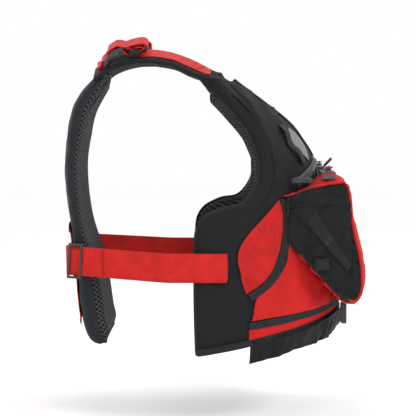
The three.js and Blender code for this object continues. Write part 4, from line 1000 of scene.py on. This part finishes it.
def settled(points, fullness, push, low, high, seed, hold_inside):
    """A cloth grid held at its border, cut larger by fullness, left to buckle under a small outward
    push. Travel along the normal is kept between low and high metres."""
    rows, columns = points.shape[:2]
    n = across_grid(points)
    start = points + n * (0.0006 * creases(points, 0.03, seed))[..., None]
    index = np.arange(rows * columns).reshape(rows, columns)
    border = np.ones((rows, columns), bool)
    border[1:-1, 1:-1] = False
    start[border] = points[border]
    if hold_inside is not None:
        border |= hold_inside
    mesh = bpy.data.meshes.new("settling")
    mesh.from_pydata(start.reshape(-1, 3).tolist(), [], squares(index).tolist())
    cloth_object = bpy.data.objects.new("settling", mesh)
    bpy.context.collection.objects.link(cloth_object)
    held = cloth_object.vertex_groups.new(name="held")
    held.add(index[border].tolist(), 1.0, "REPLACE")
    cloth = cloth_object.modifiers.new("cloth", "CLOTH")
    cloth.settings.quality = 6
    cloth.settings.mass = 0.15
    cloth.settings.tension_stiffness = 18
    cloth.settings.compression_stiffness = 18
    cloth.settings.shear_stiffness = 8
    cloth.settings.bending_stiffness = 0.25
    cloth.settings.air_damping = 2
    cloth.settings.vertex_group_mass = "held"
    cloth.settings.shrink_min = -fullness
    cloth.settings.use_pressure = True
    cloth.settings.uniform_pressure_force = push
    cloth.settings.effector_weights.gravity = 0
    cloth.collision_settings.use_collision = False
    scene = bpy.context.scene
    scene.frame_set(1)
    for k in range(2, SETTLING_FRAMES):
        scene.frame_set(k)
    graph = bpy.context.evaluated_depsgraph_get()
    moved = cloth_object.evaluated_get(graph).to_mesh()
    out = np.empty(rows * columns * 3, np.float32)
    moved.vertices.foreach_get("co", out)
    cloth_object.evaluated_get(graph).to_mesh_clear()
    bpy.data.objects.remove(cloth_object)
    scene.frame_set(1)
    travel = np.einsum("ijk,ijk->ij", out.reshape(rows, columns, 3) - points, n)
    travel = np.clip(travel, low, high)
    travel[0], travel[-1], travel[:, 0], travel[:, -1] = 0, 0, 0, 0
    return points + n * travel[..., None]


def full_cloth(points, fullness, push, low, high, seed, hold_inside=None):
    """The settled wall."""
    return settled(points, fullness, push, low, high, seed, hold_inside)


def on_grid(grid, a, b):
    """Bilinear point of a grid at shares a (columns) and b (rows)."""
    rows, columns = grid.shape[:2]
    x, y = np.clip(a, 0, 1) * (columns - 1), np.clip(b, 0, 1) * (rows - 1)
    i, j = np.minimum(y.astype(int), rows - 2), np.minimum(x.astype(int), columns - 2)
    u, v = (x - j)[..., None], (y - i)[..., None]
    return ((grid[i, j] * (1 - u) + grid[i, j + 1] * u) * (1 - v)
            + (grid[i + 1, j] * (1 - u) + grid[i + 1, j + 1] * u) * v)


def front_of_pocket(z):
    """y of the pocket's front face at a height."""
    return smooth_through(z, POCKET_FRONT)


def panel_y(x, z):
    """y of the front panel's face at a distance from the middle and a height."""
    return form_face(turn_at_x(x, z), z)[..., 1]


def lid_height(x, y):
    """The lid's height: a slope up to the front and a rounded crown under the zip."""
    base = 0.258 - (y + 0.118) / 0.089 * (POCKET_TOP - 0.258)
    return base + 0.017 * np.exp(-((y + 0.178) / 0.024)**2) * (1 - (x / 0.154)**6)


def rear_of_underside(x):
    """y where the rising underside meets the front panel, found on a fine ladder of y."""
    y = np.arange(-0.220, -0.10, 0.0005)
    z = UNDER_LOW + np.maximum(0, y - UNDER_Y) * UNDER_RISE
    short = panel_y(x[:, None], z[None]) - 0.009 <= y[None]
    return y[np.argmax(short, 1)]


def eased_rows(grid, rounds):
    """The grid with its inner rows averaged with their neighbours a few times, which rounds bends."""
    for _ in range(rounds):
        grid[1:-1] = 0.25 * grid[:-2] + 0.5 * grid[1:-1] + 0.25 * grid[2:]
    return grid


SIDE_REAR = np.array([(-206, 99), (-178, 128), (-150, 158), (-123, 188), (-119, 210), (-119, 234),
                      (-120, 258)]) * MM
SIDE_FRONT = np.array([(-223, 95), (-231, 108), (-233, 135), (-230, 163), (-222, 197), (-216, 232),
                       (-209, 276)]) * MM
side_a, side_b = np.linspace(0, 1, 46), np.linspace(0, 1, 62)
side_yz = between(knots_even(SIDE_REAR, side_b), knots_even(SIDE_FRONT, side_b), side_a)
side_yz[..., 1] += 0.006 * np.sin(np.pi * side_a)[None] * side_b[:, None]**6
full = (1 - (2 * side_a[None] - 1)**4) * (1 - (2 * side_b[:, None] - 1)**4)
side_flat = np.stack([-(0.1465 + 0.0055 * full), side_yz[..., 0], side_yz[..., 1]], -1)
pocket_side = full_cloth(side_flat[:, ::-1], 0.075, 0.3, -0.004, 0.010, 51)[:, ::-1]

column_share = np.linspace(0, 1, POCKET_COLUMNS)
across = POCKET_IN + (POCKET_OUT - POCKET_IN) * column_share**1.3
sag = np.maximum(0, 1 - column_share / 0.25)**2
under_share = np.linspace(0, 1, UNDER_ROWS)[:, None]
corner_y = front_of_pocket(UNDER_LOW) + 0.002
under_y = rear_of_underside(across)[None] * (1 - under_share) + corner_y * under_share
under_z = UNDER_LOW + np.maximum(0, under_y - UNDER_Y) * UNDER_RISE - 0.002 + 0.003 * sag
wall_z = np.linspace(UNDER_LOW + 0.003, POCKET_TOP, WALL_ROWS)[:, None] + 0 * across
wall_y = front_of_pocket(wall_z)
wall_y = wall_y + sag * np.maximum(0, panel_y(across[None] + 0 * wall_z, wall_z) - 0.0065 - wall_y)
corner = np.clip((across - 0.139) / 0.0085, 0, 1)**2 * 0.0045
front_x = np.broadcast_to(-across, (UNDER_ROWS + WALL_ROWS, POCKET_COLUMNS))
front_grid = np.stack([front_x, np.concatenate([under_y, wall_y + corner]),
                       np.concatenate([under_z, wall_z])], -1)
front_grid = eased_rows(front_grid, 4)
hold = np.zeros(front_x.shape, bool)
hold[UNDER_ROWS - 1:UNDER_ROWS + 2] = True
pocket_front = full_cloth(front_grid, 0.06, 0.3, -0.003, 0.008, 52, hold)

lid_x = POCKET_IN + (POCKET_OUT - POCKET_IN) * column_share
lid_back = panel_y(lid_x, np.full(POCKET_COLUMNS, 0.268)) - 0.0040
lid_share = np.linspace(0, 1, LID_ROWS)[:, None]
lid_y = lid_back[None] * (1 - lid_share) + (front_of_pocket(0.276) + 0.001) * lid_share
lid_rim = np.minimum(1, np.minimum((POCKET_OUT - lid_x)[None] / 0.012, (1 - lid_share) / 0.14))
lid_z = lid_height(lid_x[None] + 0 * lid_y, lid_y) + 0.0015 * lid_rim**0.5
lid_flat = np.stack([-(lid_x[None] + 0 * lid_y), lid_y, lid_z], -1)
pocket_lid = full_cloth(lid_flat[:, ::-1], 0.04, 0.25, -0.001, 0.004, 53)[:, ::-1]
POCKET_MIDDLE = np.array([-0.085, -0.175, 0.185])

for side, tag in SIDES:
    for grid, name, node, cloth, slot_name in (
            (pocket_front, "pocket_red_front", "pocket_front", red_cloth, "red_cloth"),
            (pocket_side, "pocket_black_side", "pocket_side", black_cloth, "black_cloth"),
            (pocket_lid, "pocket_red_lid", "pocket_lid", red_cloth, "red_cloth")):
        n = across_grid(grid)
        if ((grid - POCKET_MIDDLE) * n).sum() < 0:
            n = -n
        wall = skin_of(f"{name}_{tag}", mirror(grid, side), mirror(n, side), 0.0013, cloth)
        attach(wall, "vest")
        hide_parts(f"{node}_{tag}")


# ---- Cargo pockets: side layers, blank label, tab and piping -------------------------------------
# On the black side: a turned band under the lid, a second layer cut on the diagonal, a plain woven
# patch along that diagonal, a folded webbing tab at its lower end, and red piping down the corner.
side_out = across_grid(pocket_side)
side_out = side_out * np.where(side_out[..., :1].mean() > 0, -1, 1)


def side_patch(name, corners, lift, thick, finish, side, counts):
    """A patch over the pocket's side between four corners given as shares (a, b) of its grid: the
    corners' weighted mean, laid lift metres over the wall's 1.3 mm."""
    u, v = np.meshgrid(edge_steps(counts[0], 0.06), edge_steps(counts[1], 0.04))
    c = np.array(corners, float)
    ab = (c[0] * ((1 - u) * (1 - v))[..., None] + c[1] * (u * (1 - v))[..., None]
          + c[2] * (u * v)[..., None] + c[3] * ((1 - u) * v)[..., None])
    face = on_grid(pocket_side, ab[..., 0], ab[..., 1])
    out = on_grid(side_out, ab[..., 0], ab[..., 1])
    return skin_of(name, mirror(face + out * (lift + 0.0013), side), mirror(out, side), thick, finish)


def share_of(y, z):
    """Shares (a, b) of the pocket's side grid nearest to a side-view point in millimetres."""
    d = (side_flat[..., 1] - y * MM)**2 + (side_flat[..., 2] - z * MM)**2
    i, j = np.unravel_index(np.argmin(d), d.shape)
    return j / (d.shape[1] - 1), i / (d.shape[0] - 1)


label_cloth = woven("label_cloth", (0.016, 0.017, 0.019), rib=0.0009, weave_shade=0.4)
FLAP_BAND = [(0.02, 0.865), (0.985, 0.875), (0.985, 0.985), (0.02, 0.985)]
UPPER_LAYER, BLANK_LABEL, WEBBING_TAB = ([share_of(y, z) for y, z in corners] for corners in (
    [(-125, 236), (-219, 139), (-214, 244), (-160, 252)],
    [(-149, 219), (-211, 142), (-217, 154), (-163, 237)],
    [(-161, 164), (-163, 143), (-184, 146), (-181, 163)]))
PIPING = [(-209, 275), (-214, 256), (-217, 225), (-222, 197), (-230, 163), (-233, 135), (-232, 112),
          (-224, 97), (-213, 97)]
SIDEWAYS = np.array([[1.0, 0, 0]])
for side, tag in SIDES:
    for name, corners, lift, thick, finish, counts, slot_name in (
            ("pocket_flap_band", FLAP_BAND, 0.0010, 0.0016, black_cloth, (40, 8), "black_cloth"),
            ("pocket_upper_layer", UPPER_LAYER, 0.0006, 0.0012, black_cloth, (40, 24), "black_cloth"),
            ("blank_label", BLANK_LABEL, 0.0019, 0.0007, label_cloth, (36, 8), "black_cloth"),
            ("pocket_tab", WEBBING_TAB, 0.0016, 0.0030, black_tape, (12, 12), "black_webbing")):
        layer = side_patch(f"{name}_{tag}", corners, lift, thick, finish, side, counts)
        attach(layer, "vest")
    cord_path = knots_even(np.array([(-0.1485, y * MM, z * MM) for y, z in PIPING]), 70)
    pipe = tube(f"pocket_piping_{tag}", mirror(cord_path, side), 0.0024, 0.0024, SIDEWAYS, red_cloth)
    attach(pipe, "vest")
    hem_a = np.linspace(0.02, 0.98, 60)
    for name, b in (("upper", 0.975), ("lower", 0.885)):
        out = on_grid(side_out, hem_a, np.full(60, b))
        line = on_grid(pocket_side, hem_a, np.full(60, b)) + out * 0.0042
        row = stitches(f"flap_stitches_{name}_{tag}", mirror(line, side), mirror(out, side), 0.0032,
                       0.0024, thread)
        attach(row, "vest")
    rear_edge = on_grid(pocket_side, np.zeros(60), np.linspace(0, 1, 60))
    rear_line = tube(f"pocket_rear_binding_{tag}", mirror(rear_edge, side), 0.0030, 0.0016, SIDEWAYS,
                     black_tape, False, 12, 3.0)
    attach(rear_line, "vest")
    low_edge = on_grid(pocket_side, np.linspace(0.0, 0.97, 90), np.full(90, 0.012)) - SIDEWAYS * 0.0008
    low_line = tube(f"pocket_lower_binding_{tag}", mirror(low_edge, side), 0.0036, 0.0020, SIDEWAYS,
                    black_tape, False, 12, 3.0)
    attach(low_line, "vest")


# ---- Cargo pockets: lid zip ----------------------------------------------------------------------
# Grey tape and coarse teeth lie level across the lid on a red ridge and turn down at the outer end.
# A moulded slider there carries a folded red webbing pull.
LID_ZIP_Y = -0.182
zip_x = np.linspace(0.034, 0.1415, 50)
zip_z = lid_height(zip_x[0], LID_ZIP_Y) + 0.0062
ridge_x = zip_x[2:48]
for side, tag in SIDES:
    line = np.stack([side * zip_x, np.full(50, LID_ZIP_Y), zip_z - 0.0095 * ease(zip_x, 0.1315, 0.1425)], 1)
    n = np.tile([[0.0, 0.0, 1.0]], (50, 1))
    tape = tube(f"lid_zip_tape_{tag}", line, 0.0110, 0.0009, n, grey_tape, False, 16, 5.0)
    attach(tape, "vest")
    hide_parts(f"pocket_zip_{tag}")
    under = np.stack([side * ridge_x, np.full(46, LID_ZIP_Y), np.full(46, zip_z - 0.0061)], 1)
    ridge = tube(f"lid_zip_ridge_{tag}", under, 0.0105, 0.0050, n[:1], red_cloth, False, 20, 4.0)
    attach(ridge, "vest")
    teeth = zip_teeth(f"lid_zip_teeth_{tag}", (line + n * 0.0006)[:46], n[:46], 0.0075, 0.0026, 0.0034,
                      tooth_grey)
    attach(teeth, "vest")
    slider = softened_copy(f"pocket_zip_slider_{tag}", 0.0005, dark_plastic, f"lid_slider_cast_{tag}")
    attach(slider, f"pocket_slider_{tag}")
    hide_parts(f"pocket_zip_slider_{tag}")
    grip = softened_copy(f"pocket_zip_pull_{tag}", 0.0006, red_webbing, f"lid_pull_grip_{tag}")
    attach(grip, f"pocket_pull_{tag}")
    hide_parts(f"pocket_zip_pull_{tag}")


# ---- Shoulder straps: pads -----------------------------------------------------------------------
# A thin padded black strap runs from the back panel's top over each shoulder and narrows into a
# sleeve sewn to the front panel's top.
STRAP_KNOTS = np.array([(-8, 441.5), (10, 447), (30, 456), (60, 468), (92, 473), (120, 472), (146, 465),
                        (172, 453)]) * MM
strap_y = np.linspace(0.172, -0.008, 400)
strap_line = np.stack([strap_y, smooth_through(strap_y, STRAP_KNOTS)], 1)
strap_length = walked(strap_line)
strap_slope = np.gradient(strap_line, axis=0)
strap_slope /= np.linalg.norm(strap_slope, axis=1, keepdims=True)


def strap(s, across, lift):
    """Point on the right strap: share s from back to front, across away from the neck, lift up."""
    where = np.asarray(s) * strap_length[-1]
    y, z = (np.interp(where, strap_length, strap_line[:, k]) for k in (0, 1))
    ty, tz = (np.interp(where, strap_length, strap_slope[:, k]) for k in (0, 1))
    skew = 0.56 * ease(np.asarray(s), 0.6, 1)
    tilt = STRAP_TILT * (1 - 0.80 * ease(np.asarray(s), 0.70, 0.95))
    x = STRAP_X + across * np.cos(tilt) + lift * np.sin(tilt)
    return np.stack([-x + 0 * y, y + tz * lift + across * skew,
                     z - ty * lift - across * np.sin(tilt)], -1)


def strap_up(s):
    """The strap's own upward direction at each share."""
    n = strap(s, 0, 0.001) - strap(s, 0, 0)
    return n / np.linalg.norm(n, axis=-1, keepdims=True)


PAD_HALF, PAD_THICK = 0.031, 0.0085
PAD_EDGES = (0.006, 0.006, 0.007, 0.007)
pad_s, pad_a = np.meshgrid(edge_steps(60, 0.02), 2 * edge_steps(16, 0.12) - 1, indexing="ij")
pad_middle = strap(0.955 * pad_s, pad_a * PAD_HALF, 0 * pad_s)
pad_middle = pad_middle + np.array([0, 0.009, -0.009]) * (1 - ease(pad_s, 0, 0.08))[..., None]
pad_outer, pad_inner, n, crown = pillow(pad_middle, PAD_THICK, PAD_EDGES)
pad_soft = n * (0.0005 * creases(pad_middle, 0.03, 61) * crown)[..., None]

SLEEVE_RINGS, SLEEVE_SIDES = 44, 36
STRAP_SHARES = np.array([0.930, 0.945, 0.960])
PANEL_ROWS, PANEL_MID = [-3, -10, -20], 31
centre = np.concatenate([strap(STRAP_SHARES, 0.0, np.array([0.0, 0.0002, 0.0002])),
                         front_middle[PANEL_ROWS, PANEL_MID]])
to_outer = np.concatenate([strap(STRAP_SHARES, PAD_HALF, 0.0), front_middle[PANEL_ROWS, -1]]) - centre
to_neck = np.concatenate([strap(STRAP_SHARES, -PAD_HALF, 0.0), front_middle[PANEL_ROWS, 0]]) - centre
facing = np.concatenate([strap_up(STRAP_SHARES), form_out(*front_turn[PANEL_ROWS, PANEL_MID].T)])
knots = np.concatenate([centre, to_outer, to_neck, facing * 0.03], 1)
run, grow = walked(knots), np.linspace(0, 1, SLEEVE_RINGS)
rows = at_length(grow * run[-1], run, knots)
for _ in range(4):
    rows[1:-1] = (rows[:-2] + 2 * rows[1:-1] + rows[2:]) / 4
centre, to_outer, to_neck, facing = np.split(rows, 4, axis=1)
facing = facing / np.linalg.norm(facing, axis=1, keepdims=True)
wide = np.interp(grow, [0, 0.10, 0.40, 0.60, 1], [1.0, 1.02, 1.08, 1.02, 0.94])[:, None, None]
above = np.interp(grow, [0, 0.05, 0.12, 0.24, 0.40, 0.52, 1],
                  [0.003, 0.0058, 0.006, 0.010, 0.023, 0.0196, 0.013])[:, None, None]
below = np.interp(grow, [0, 0.05, 0.46, 1], [0.0028, 0.0044, 0.0070, 0.0050])[:, None, None]
turn = np.linspace(0, 2 * np.pi, SLEEVE_SIDES, endpoint=False)
oval_x, oval_up = (np.sign(part) * np.abs(part)**0.42 for part in (np.cos(turn), np.sin(turn)))
oval_x, oval_up = oval_x[None, :, None], oval_up[None, :, None]
rings = (centre[:, None] + to_outer[:, None] * (np.maximum(oval_x, 0) * wide)
         + to_neck[:, None] * (np.maximum(-oval_x, 0) * wide)
         + facing[:, None] * (oval_up * np.where(oval_up > 0, above, below)))
rings = rings + facing[:, None] * (0.0010 * creases(rings * [1, 1.5, 1], 0.025, 62))[..., None]
sleeve_points = np.concatenate([rings.reshape(-1, 3), centre[:1], centre[-1:]])
k, j = np.meshgrid(np.arange(SLEEVE_RINGS - 1), np.arange(SLEEVE_SIDES), indexing="ij")
here, beside = k * SLEEVE_SIDES, (j + 1) % SLEEVE_SIDES
above_here = here + SLEEVE_SIDES
sleeve_faces = np.stack([here + j, here + beside, above_here + beside, above_here + j], -1)
cap = np.arange(0, SLEEVE_SIDES, 2)
last, hub = (SLEEVE_RINGS - 1) * SLEEVE_SIDES, SLEEVE_RINGS * SLEEVE_SIDES
cap_next = (cap + 2) % SLEEVE_SIDES
first_cap = np.stack([cap_next, cap + 1, cap, 0 * cap + hub], -1)
last_cap = np.stack([last + cap, last + cap + 1, last + cap_next, 0 * cap + hub + 1], -1)
sleeve_faces = np.concatenate([sleeve_faces.reshape(-1, 4), first_cap, last_cap])
sleeve_flat = np.stack(np.broadcast_arrays(np.linspace(0, 0.15, SLEEVE_SIDES)[None],
                                           walked(centre)[:, None]), -1)
sleeve_uv = np.concatenate([sleeve_flat.reshape(-1, 2), [[0, 0], [0, 0.1]]])

for side, tag in SIDES:
    pad = grid_shell(f"shoulder_padding_{tag}", mirror(pad_outer + pad_soft, side),
                     mirror(pad_inner + pad_soft, side), black_cloth)
    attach(pad, "vest")
    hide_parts(f"shoulder_pad_{tag}")
    sleeve = closed_piece(f"strap_sleeve_{tag}", mirror(sleeve_points, side), sleeve_faces, black_cloth,
                          sleeve_uv)
    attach(sleeve, "vest")


# ---- Shoulder straps: webbing, adjuster and keeper -----------------------------------------------
# Ribbed red webbing is sewn to the strap's front, runs back through a curved ladder-lock and folds
# forward into a rolled free end held by a black elastic keeper. A short loop anchors the lock.
def strap_ribbon(name, profile, half_wide, thick, finish, side, count=90):
    """Webbing whose route is given as (share, lift in millimetres) knots over the strap."""
    run = knots_even(np.array(profile, float) * [1, MM], count)
    path = strap(run[:, 0], 0.0, run[:, 1])
    step = np.gradient(path, axis=0)
    step /= np.linalg.norm(step, axis=1, keepdims=True)
    over = strap(run[:, 0], 0.01, run[:, 1]) - strap(run[:, 0], -0.01, run[:, 1])
    level = np.cross(step, over / np.linalg.norm(over, axis=1, keepdims=True))
    return tube(name, mirror(path, side), half_wide, thick / 2, mirror(level, side), finish, False, 20, 7.0)


LOCK_PIVOT, LOCK_TILT = (0.0752, 9.67), 0.42


def tilted(knots):
    """Share and lift knots given for the lock lying flat, turned with it about its rear bar."""
    scale = strap_length[-1] / MM
    run, up = (np.array(knots, float) - LOCK_PIVOT).T * [[scale], [1]]
    c, d = math.cos(LOCK_TILT), math.sin(LOCK_TILT)
    return [(LOCK_PIVOT[0] + (x * c - y * d) / scale, LOCK_PIVOT[1] + x * d + y * c)
            for x, y in zip(run, up)]


TOP_ROUTE = [(0.950, 5.2), (0.80, 5.6), (0.6, 5.6), (0.45, 5.6), (0.30, 5.6)]
LOOP_ROUTE = [(0.36, 5.8), (0.32, 5.8), (0.285, 6.4),
              *tilted([(0.215, 10.6), (0.178, 14.6), (0.158, 15.9), (0.140, 14.4), (0.150, 12.0),
                       (0.150, 12.4), (0.138, 15.2), (0.160, 17.9), (0.200, 17.0), (0.236, 14.2)]),
              (0.30, 17.0), (0.35, 15.4)]
ROLL_ROUTE = [(0.255, 21.5), (0.29, 22.8), (0.34, 24.2), (0.38, 24.4), (0.405, 21.5), (0.408, 16.0),
              (0.398, 10.5), (0.37, 8.6), (0.33, 8.6), (0.30, 9.6), (0.30, 12.4), (0.34, 13.2),
              (0.37, 14.2), (0.375, 18.0), (0.35, 19.4), (0.31, 18.6)]
ANCHOR_ROUTE = [(-0.045, 3.0), (-0.01, 4.9), (0.02, 5.2), (0.05, 5.6), (0.078, 6.6), (0.096, 9.4),
                (0.088, 12.6), (0.070, 13.2), (0.050, 11.6), (0.03, 8.2), (-0.01, 7.2)]
KEEPER_SHARE, KEEPER_LIFT = 0.315, 0.0105

for side, tag in SIDES:
    top = strap_ribbon(f"strap_webbing_{tag}", TOP_ROUTE, 0.021, 0.0019, red_webbing, side)
    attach(top, "vest")
    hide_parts(f"shoulder_webbing_{tag}")
    for k, s in enumerate((0.868, 0.852, 0.80)):
        line = strap(np.full(30, s), np.linspace(-0.019, 0.019, 30), np.full(30, 0.0067))
        up = strap_up(np.full(30, s))
        row = stitches(f"webbing_bartack_{k}_{tag}", mirror(line, side), mirror(up, side), 0.0022, 0.0018,
                       red_thread)
        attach(row, "vest")
    loop = strap_ribbon(f"lock_loop_{tag}", LOOP_ROUTE, 0.0205, 0.0018, red_webbing, side, 130)
    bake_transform(loop)
    roll = strap_ribbon(f"rolled_tail_{tag}", ROLL_ROUTE, 0.0205, 0.0023, red_webbing, side, 130)
    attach(roll, "vest")
    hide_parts(f"webbing_tail_{tag}")
    anchor = strap_ribbon(f"anchor_loop_{tag}", ANCHOR_ROUTE, 0.0205, 0.0018, red_webbing, side, 110)
    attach(anchor, "vest")
    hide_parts(f"anchor_webbing_{tag}")
    around = np.linspace(0, 2 * np.pi, 60, endpoint=False)
    ring_a = np.sign(np.cos(around)) * np.abs(np.cos(around))**0.35 * 0.0235
    ring_l = KEEPER_LIFT + np.sign(np.sin(around)) * np.abs(np.sin(around))**0.5 * 0.0060
    ring = strap(np.full(60, KEEPER_SHARE), ring_a, ring_l)
    away = ring - strap(KEEPER_SHARE, 0.0, KEEPER_LIFT)
    away /= np.linalg.norm(away, axis=1, keepdims=True)
    keeper = tube(f"keeper_band_{tag}", mirror(ring, side), 0.0090, 0.0011, mirror(away, side),
                  black_tape, True, 12, 4.0)
    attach(keeper, "vest")
    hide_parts(f"elastic_keeper_{tag}")
    lock = softened_copy(f"ladder_lock_{tag}", 0.0011, dark_plastic, f"ladder_lock_cast_{tag}")
    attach(lock, f"ladder_lock_{tag}")
    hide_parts(f"ladder_lock_{tag}")


# ---- Side webbing and tri-glides -----------------------------------------------------------------
# One length of red webbing crosses the back panel and joins both side wings. A tri-glide on each
# side adjusts it, and a black line of stitches marks where its end is doubled.
WEB_Z, WEB_WIDE, WEB_FALL = 0.160, 0.045, 0.010
RUN_START, RUN_END = np.array([-0.152, 0.219]), np.array([-0.1825, 0.066])
rear_x = np.array([0, -0.035, -0.070, -0.105])
rear_share = np.append(rear_x, -0.128) / back_half(WEB_Z)
rear_y = smooth_through(WEB_Z, BACK_LINE) - BACK_LEAD * rear_share**2 + 0.0020
corner_from = np.array([-0.128, rear_y[-1] + 0.0015])
bend = np.linspace(0, 1, 14)[:, None]
corner_curve = ((1 - bend)**2 * corner_from + 2 * bend * (1 - bend) * (RUN_START + [0.0035, 0.008])
                + bend**2 * RUN_START)
wing_turn = np.linspace(1.64, 1.40, 10)
wing = form(wing_turn, np.full(10, WEB_Z - 0.010), np.full(10, 0.003))[:, :2]
plan = np.concatenate([np.stack([rear_x, rear_y[:-1]], 1), corner_curve,
                       RUN_START + (RUN_END - RUN_START) * np.linspace(0, 1, 30)[1:, None], wing])
plan = even_path(np.concatenate([plan, np.zeros((len(plan), 1))], 1), 0.004)[:, :2]
plan = eased_rows(plan, 3)
web_plan = np.concatenate([plan[:0:-1] * [-1, 1], plan])
web_z = WEB_Z - WEB_FALL * np.clip((RUN_START[1] - web_plan[:, 1]) / (RUN_START[1] - RUN_END[1]), 0, 1)
web_step = np.gradient(web_plan, axis=0)
web_out = np.stack([-web_step[:, 1], web_step[:, 0]], 1)
web_out /= np.linalg.norm(web_out, axis=1, keepdims=True)
web_out *= np.sign((web_out * (web_plan - [0, 0.04])).sum(1, keepdims=True))
tall = np.array([-1.0, -0.97, -0.5, 0.0, 0.5, 0.97, 1.0])
web_high = web_z[:, None] + tall[None] * WEB_WIDE / 2
on_back = 1 - ease(np.abs(web_plan[:, 0]), BACK_HALF - 0.008, 0.150)
lean = np.where(web_plan[:, 1] > 0.150, on_back, 0)[:, None] * (
    smooth_through(web_high, BACK_LINE) - smooth_through(WEB_Z, BACK_LINE))
flat = np.stack([web_plan[:, :1] + 0 * web_high, web_plan[:, 1:] + lean, web_high], -1)
out3 = np.concatenate([web_out, np.zeros((len(web_out), 1))], 1)[:, None] + 0 * flat
sway = 0.00018 * np.sin(np.arange(len(web_plan)) * 0.35)[:, None, None]
sway = sway * (1 - np.abs(tall)[None, :, None]**4)
side_band = skin_of("side_webbing_run", flat + out3 * (0.0002 + sway), out3, 0.0019, flat_webbing)
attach(side_band, "vest")
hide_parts("side_webbing")
for side, tag in SIDES:
    for k, y in enumerate((0.1640, 0.1665)):
        share = (RUN_START[1] - y) / (RUN_START[1] - RUN_END[1])
        spot = RUN_START + (RUN_END - RUN_START) * share
        column = np.linspace(-0.0195, 0.0195, 30)
        line = np.stack([np.full(30, spot[0] - 0.0024), np.full(30, spot[1]),
                         WEB_Z - WEB_FALL * share + column], 1)
        row = stitches(f"webbing_stop_{k}_{tag}", mirror(line, side), np.tile([[side * 1.0, 0, 0]], (30, 1)),
                       0.0026, 0.0022, thread, 0.0004)
        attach(row, "vest")
    glide = softened_copy(f"tri_glide_{tag}", 0.0009, dark_plastic, f"tri_glide_cast_{tag}")
    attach(glide, f"tri_glide_{tag}")
    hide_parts(f"tri_glide_{tag}")


# ---- Waist belt and buckle -----------------------------------------------------------------------
# Narrow black webbing, sewn in at each side, lies along the hem to a side-release buckle at the
# middle.
BELT_KNOTS = np.array([(-196, 61), (-180, 55.5), (-160, 48), (-135, 40.5), (-112, 36)]) * MM
BUCKLE_Z, BUCKLE_HALF = 0.064, 0.0335
belt_end = np.array([[float(turn_at_x(np.array(BUCKLE_HALF), BUCKLE_Z)), BUCKLE_Z]])
belt_turns = np.concatenate([belt_end, np.stack([turn_at_y(*BELT_KNOTS.T), BELT_KNOTS[:, 1]], 1)])
belt_turns = knots_even(belt_turns, 60)
belt_n = form_out(belt_turns[:, 0], belt_turns[:, 1])
belt_path = form_face(belt_turns[:, 0], belt_turns[:, 1]) + belt_n * 0.0047

for side, tag in SIDES:
    lead = np.array([[-0.0225, belt_path[0, 1] - 0.0008, BUCKLE_Z]])
    route = np.concatenate([lead, belt_path[2:]])
    facing = np.concatenate([[[0, -1, 0]], belt_n[2:]])
    belt = tube(f"waist_belt_{tag}", mirror(route, side), 0.012, 0.0010, mirror(facing, side), black_tape,
                False, 16, 6.0)
    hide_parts(f"waist_webbing_{tag}")
    if side < 0:
        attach(belt, "vest")
    else:
        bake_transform(belt)
for node, body, name in (
        ("buckle_female", "vest", "buckle_socket"),
        ("buckle_male", "buckle_release", "buckle_prong")):
    half = softened_copy(node, 0.0008, dark_plastic, name)
    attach(half, body)
    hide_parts(node)
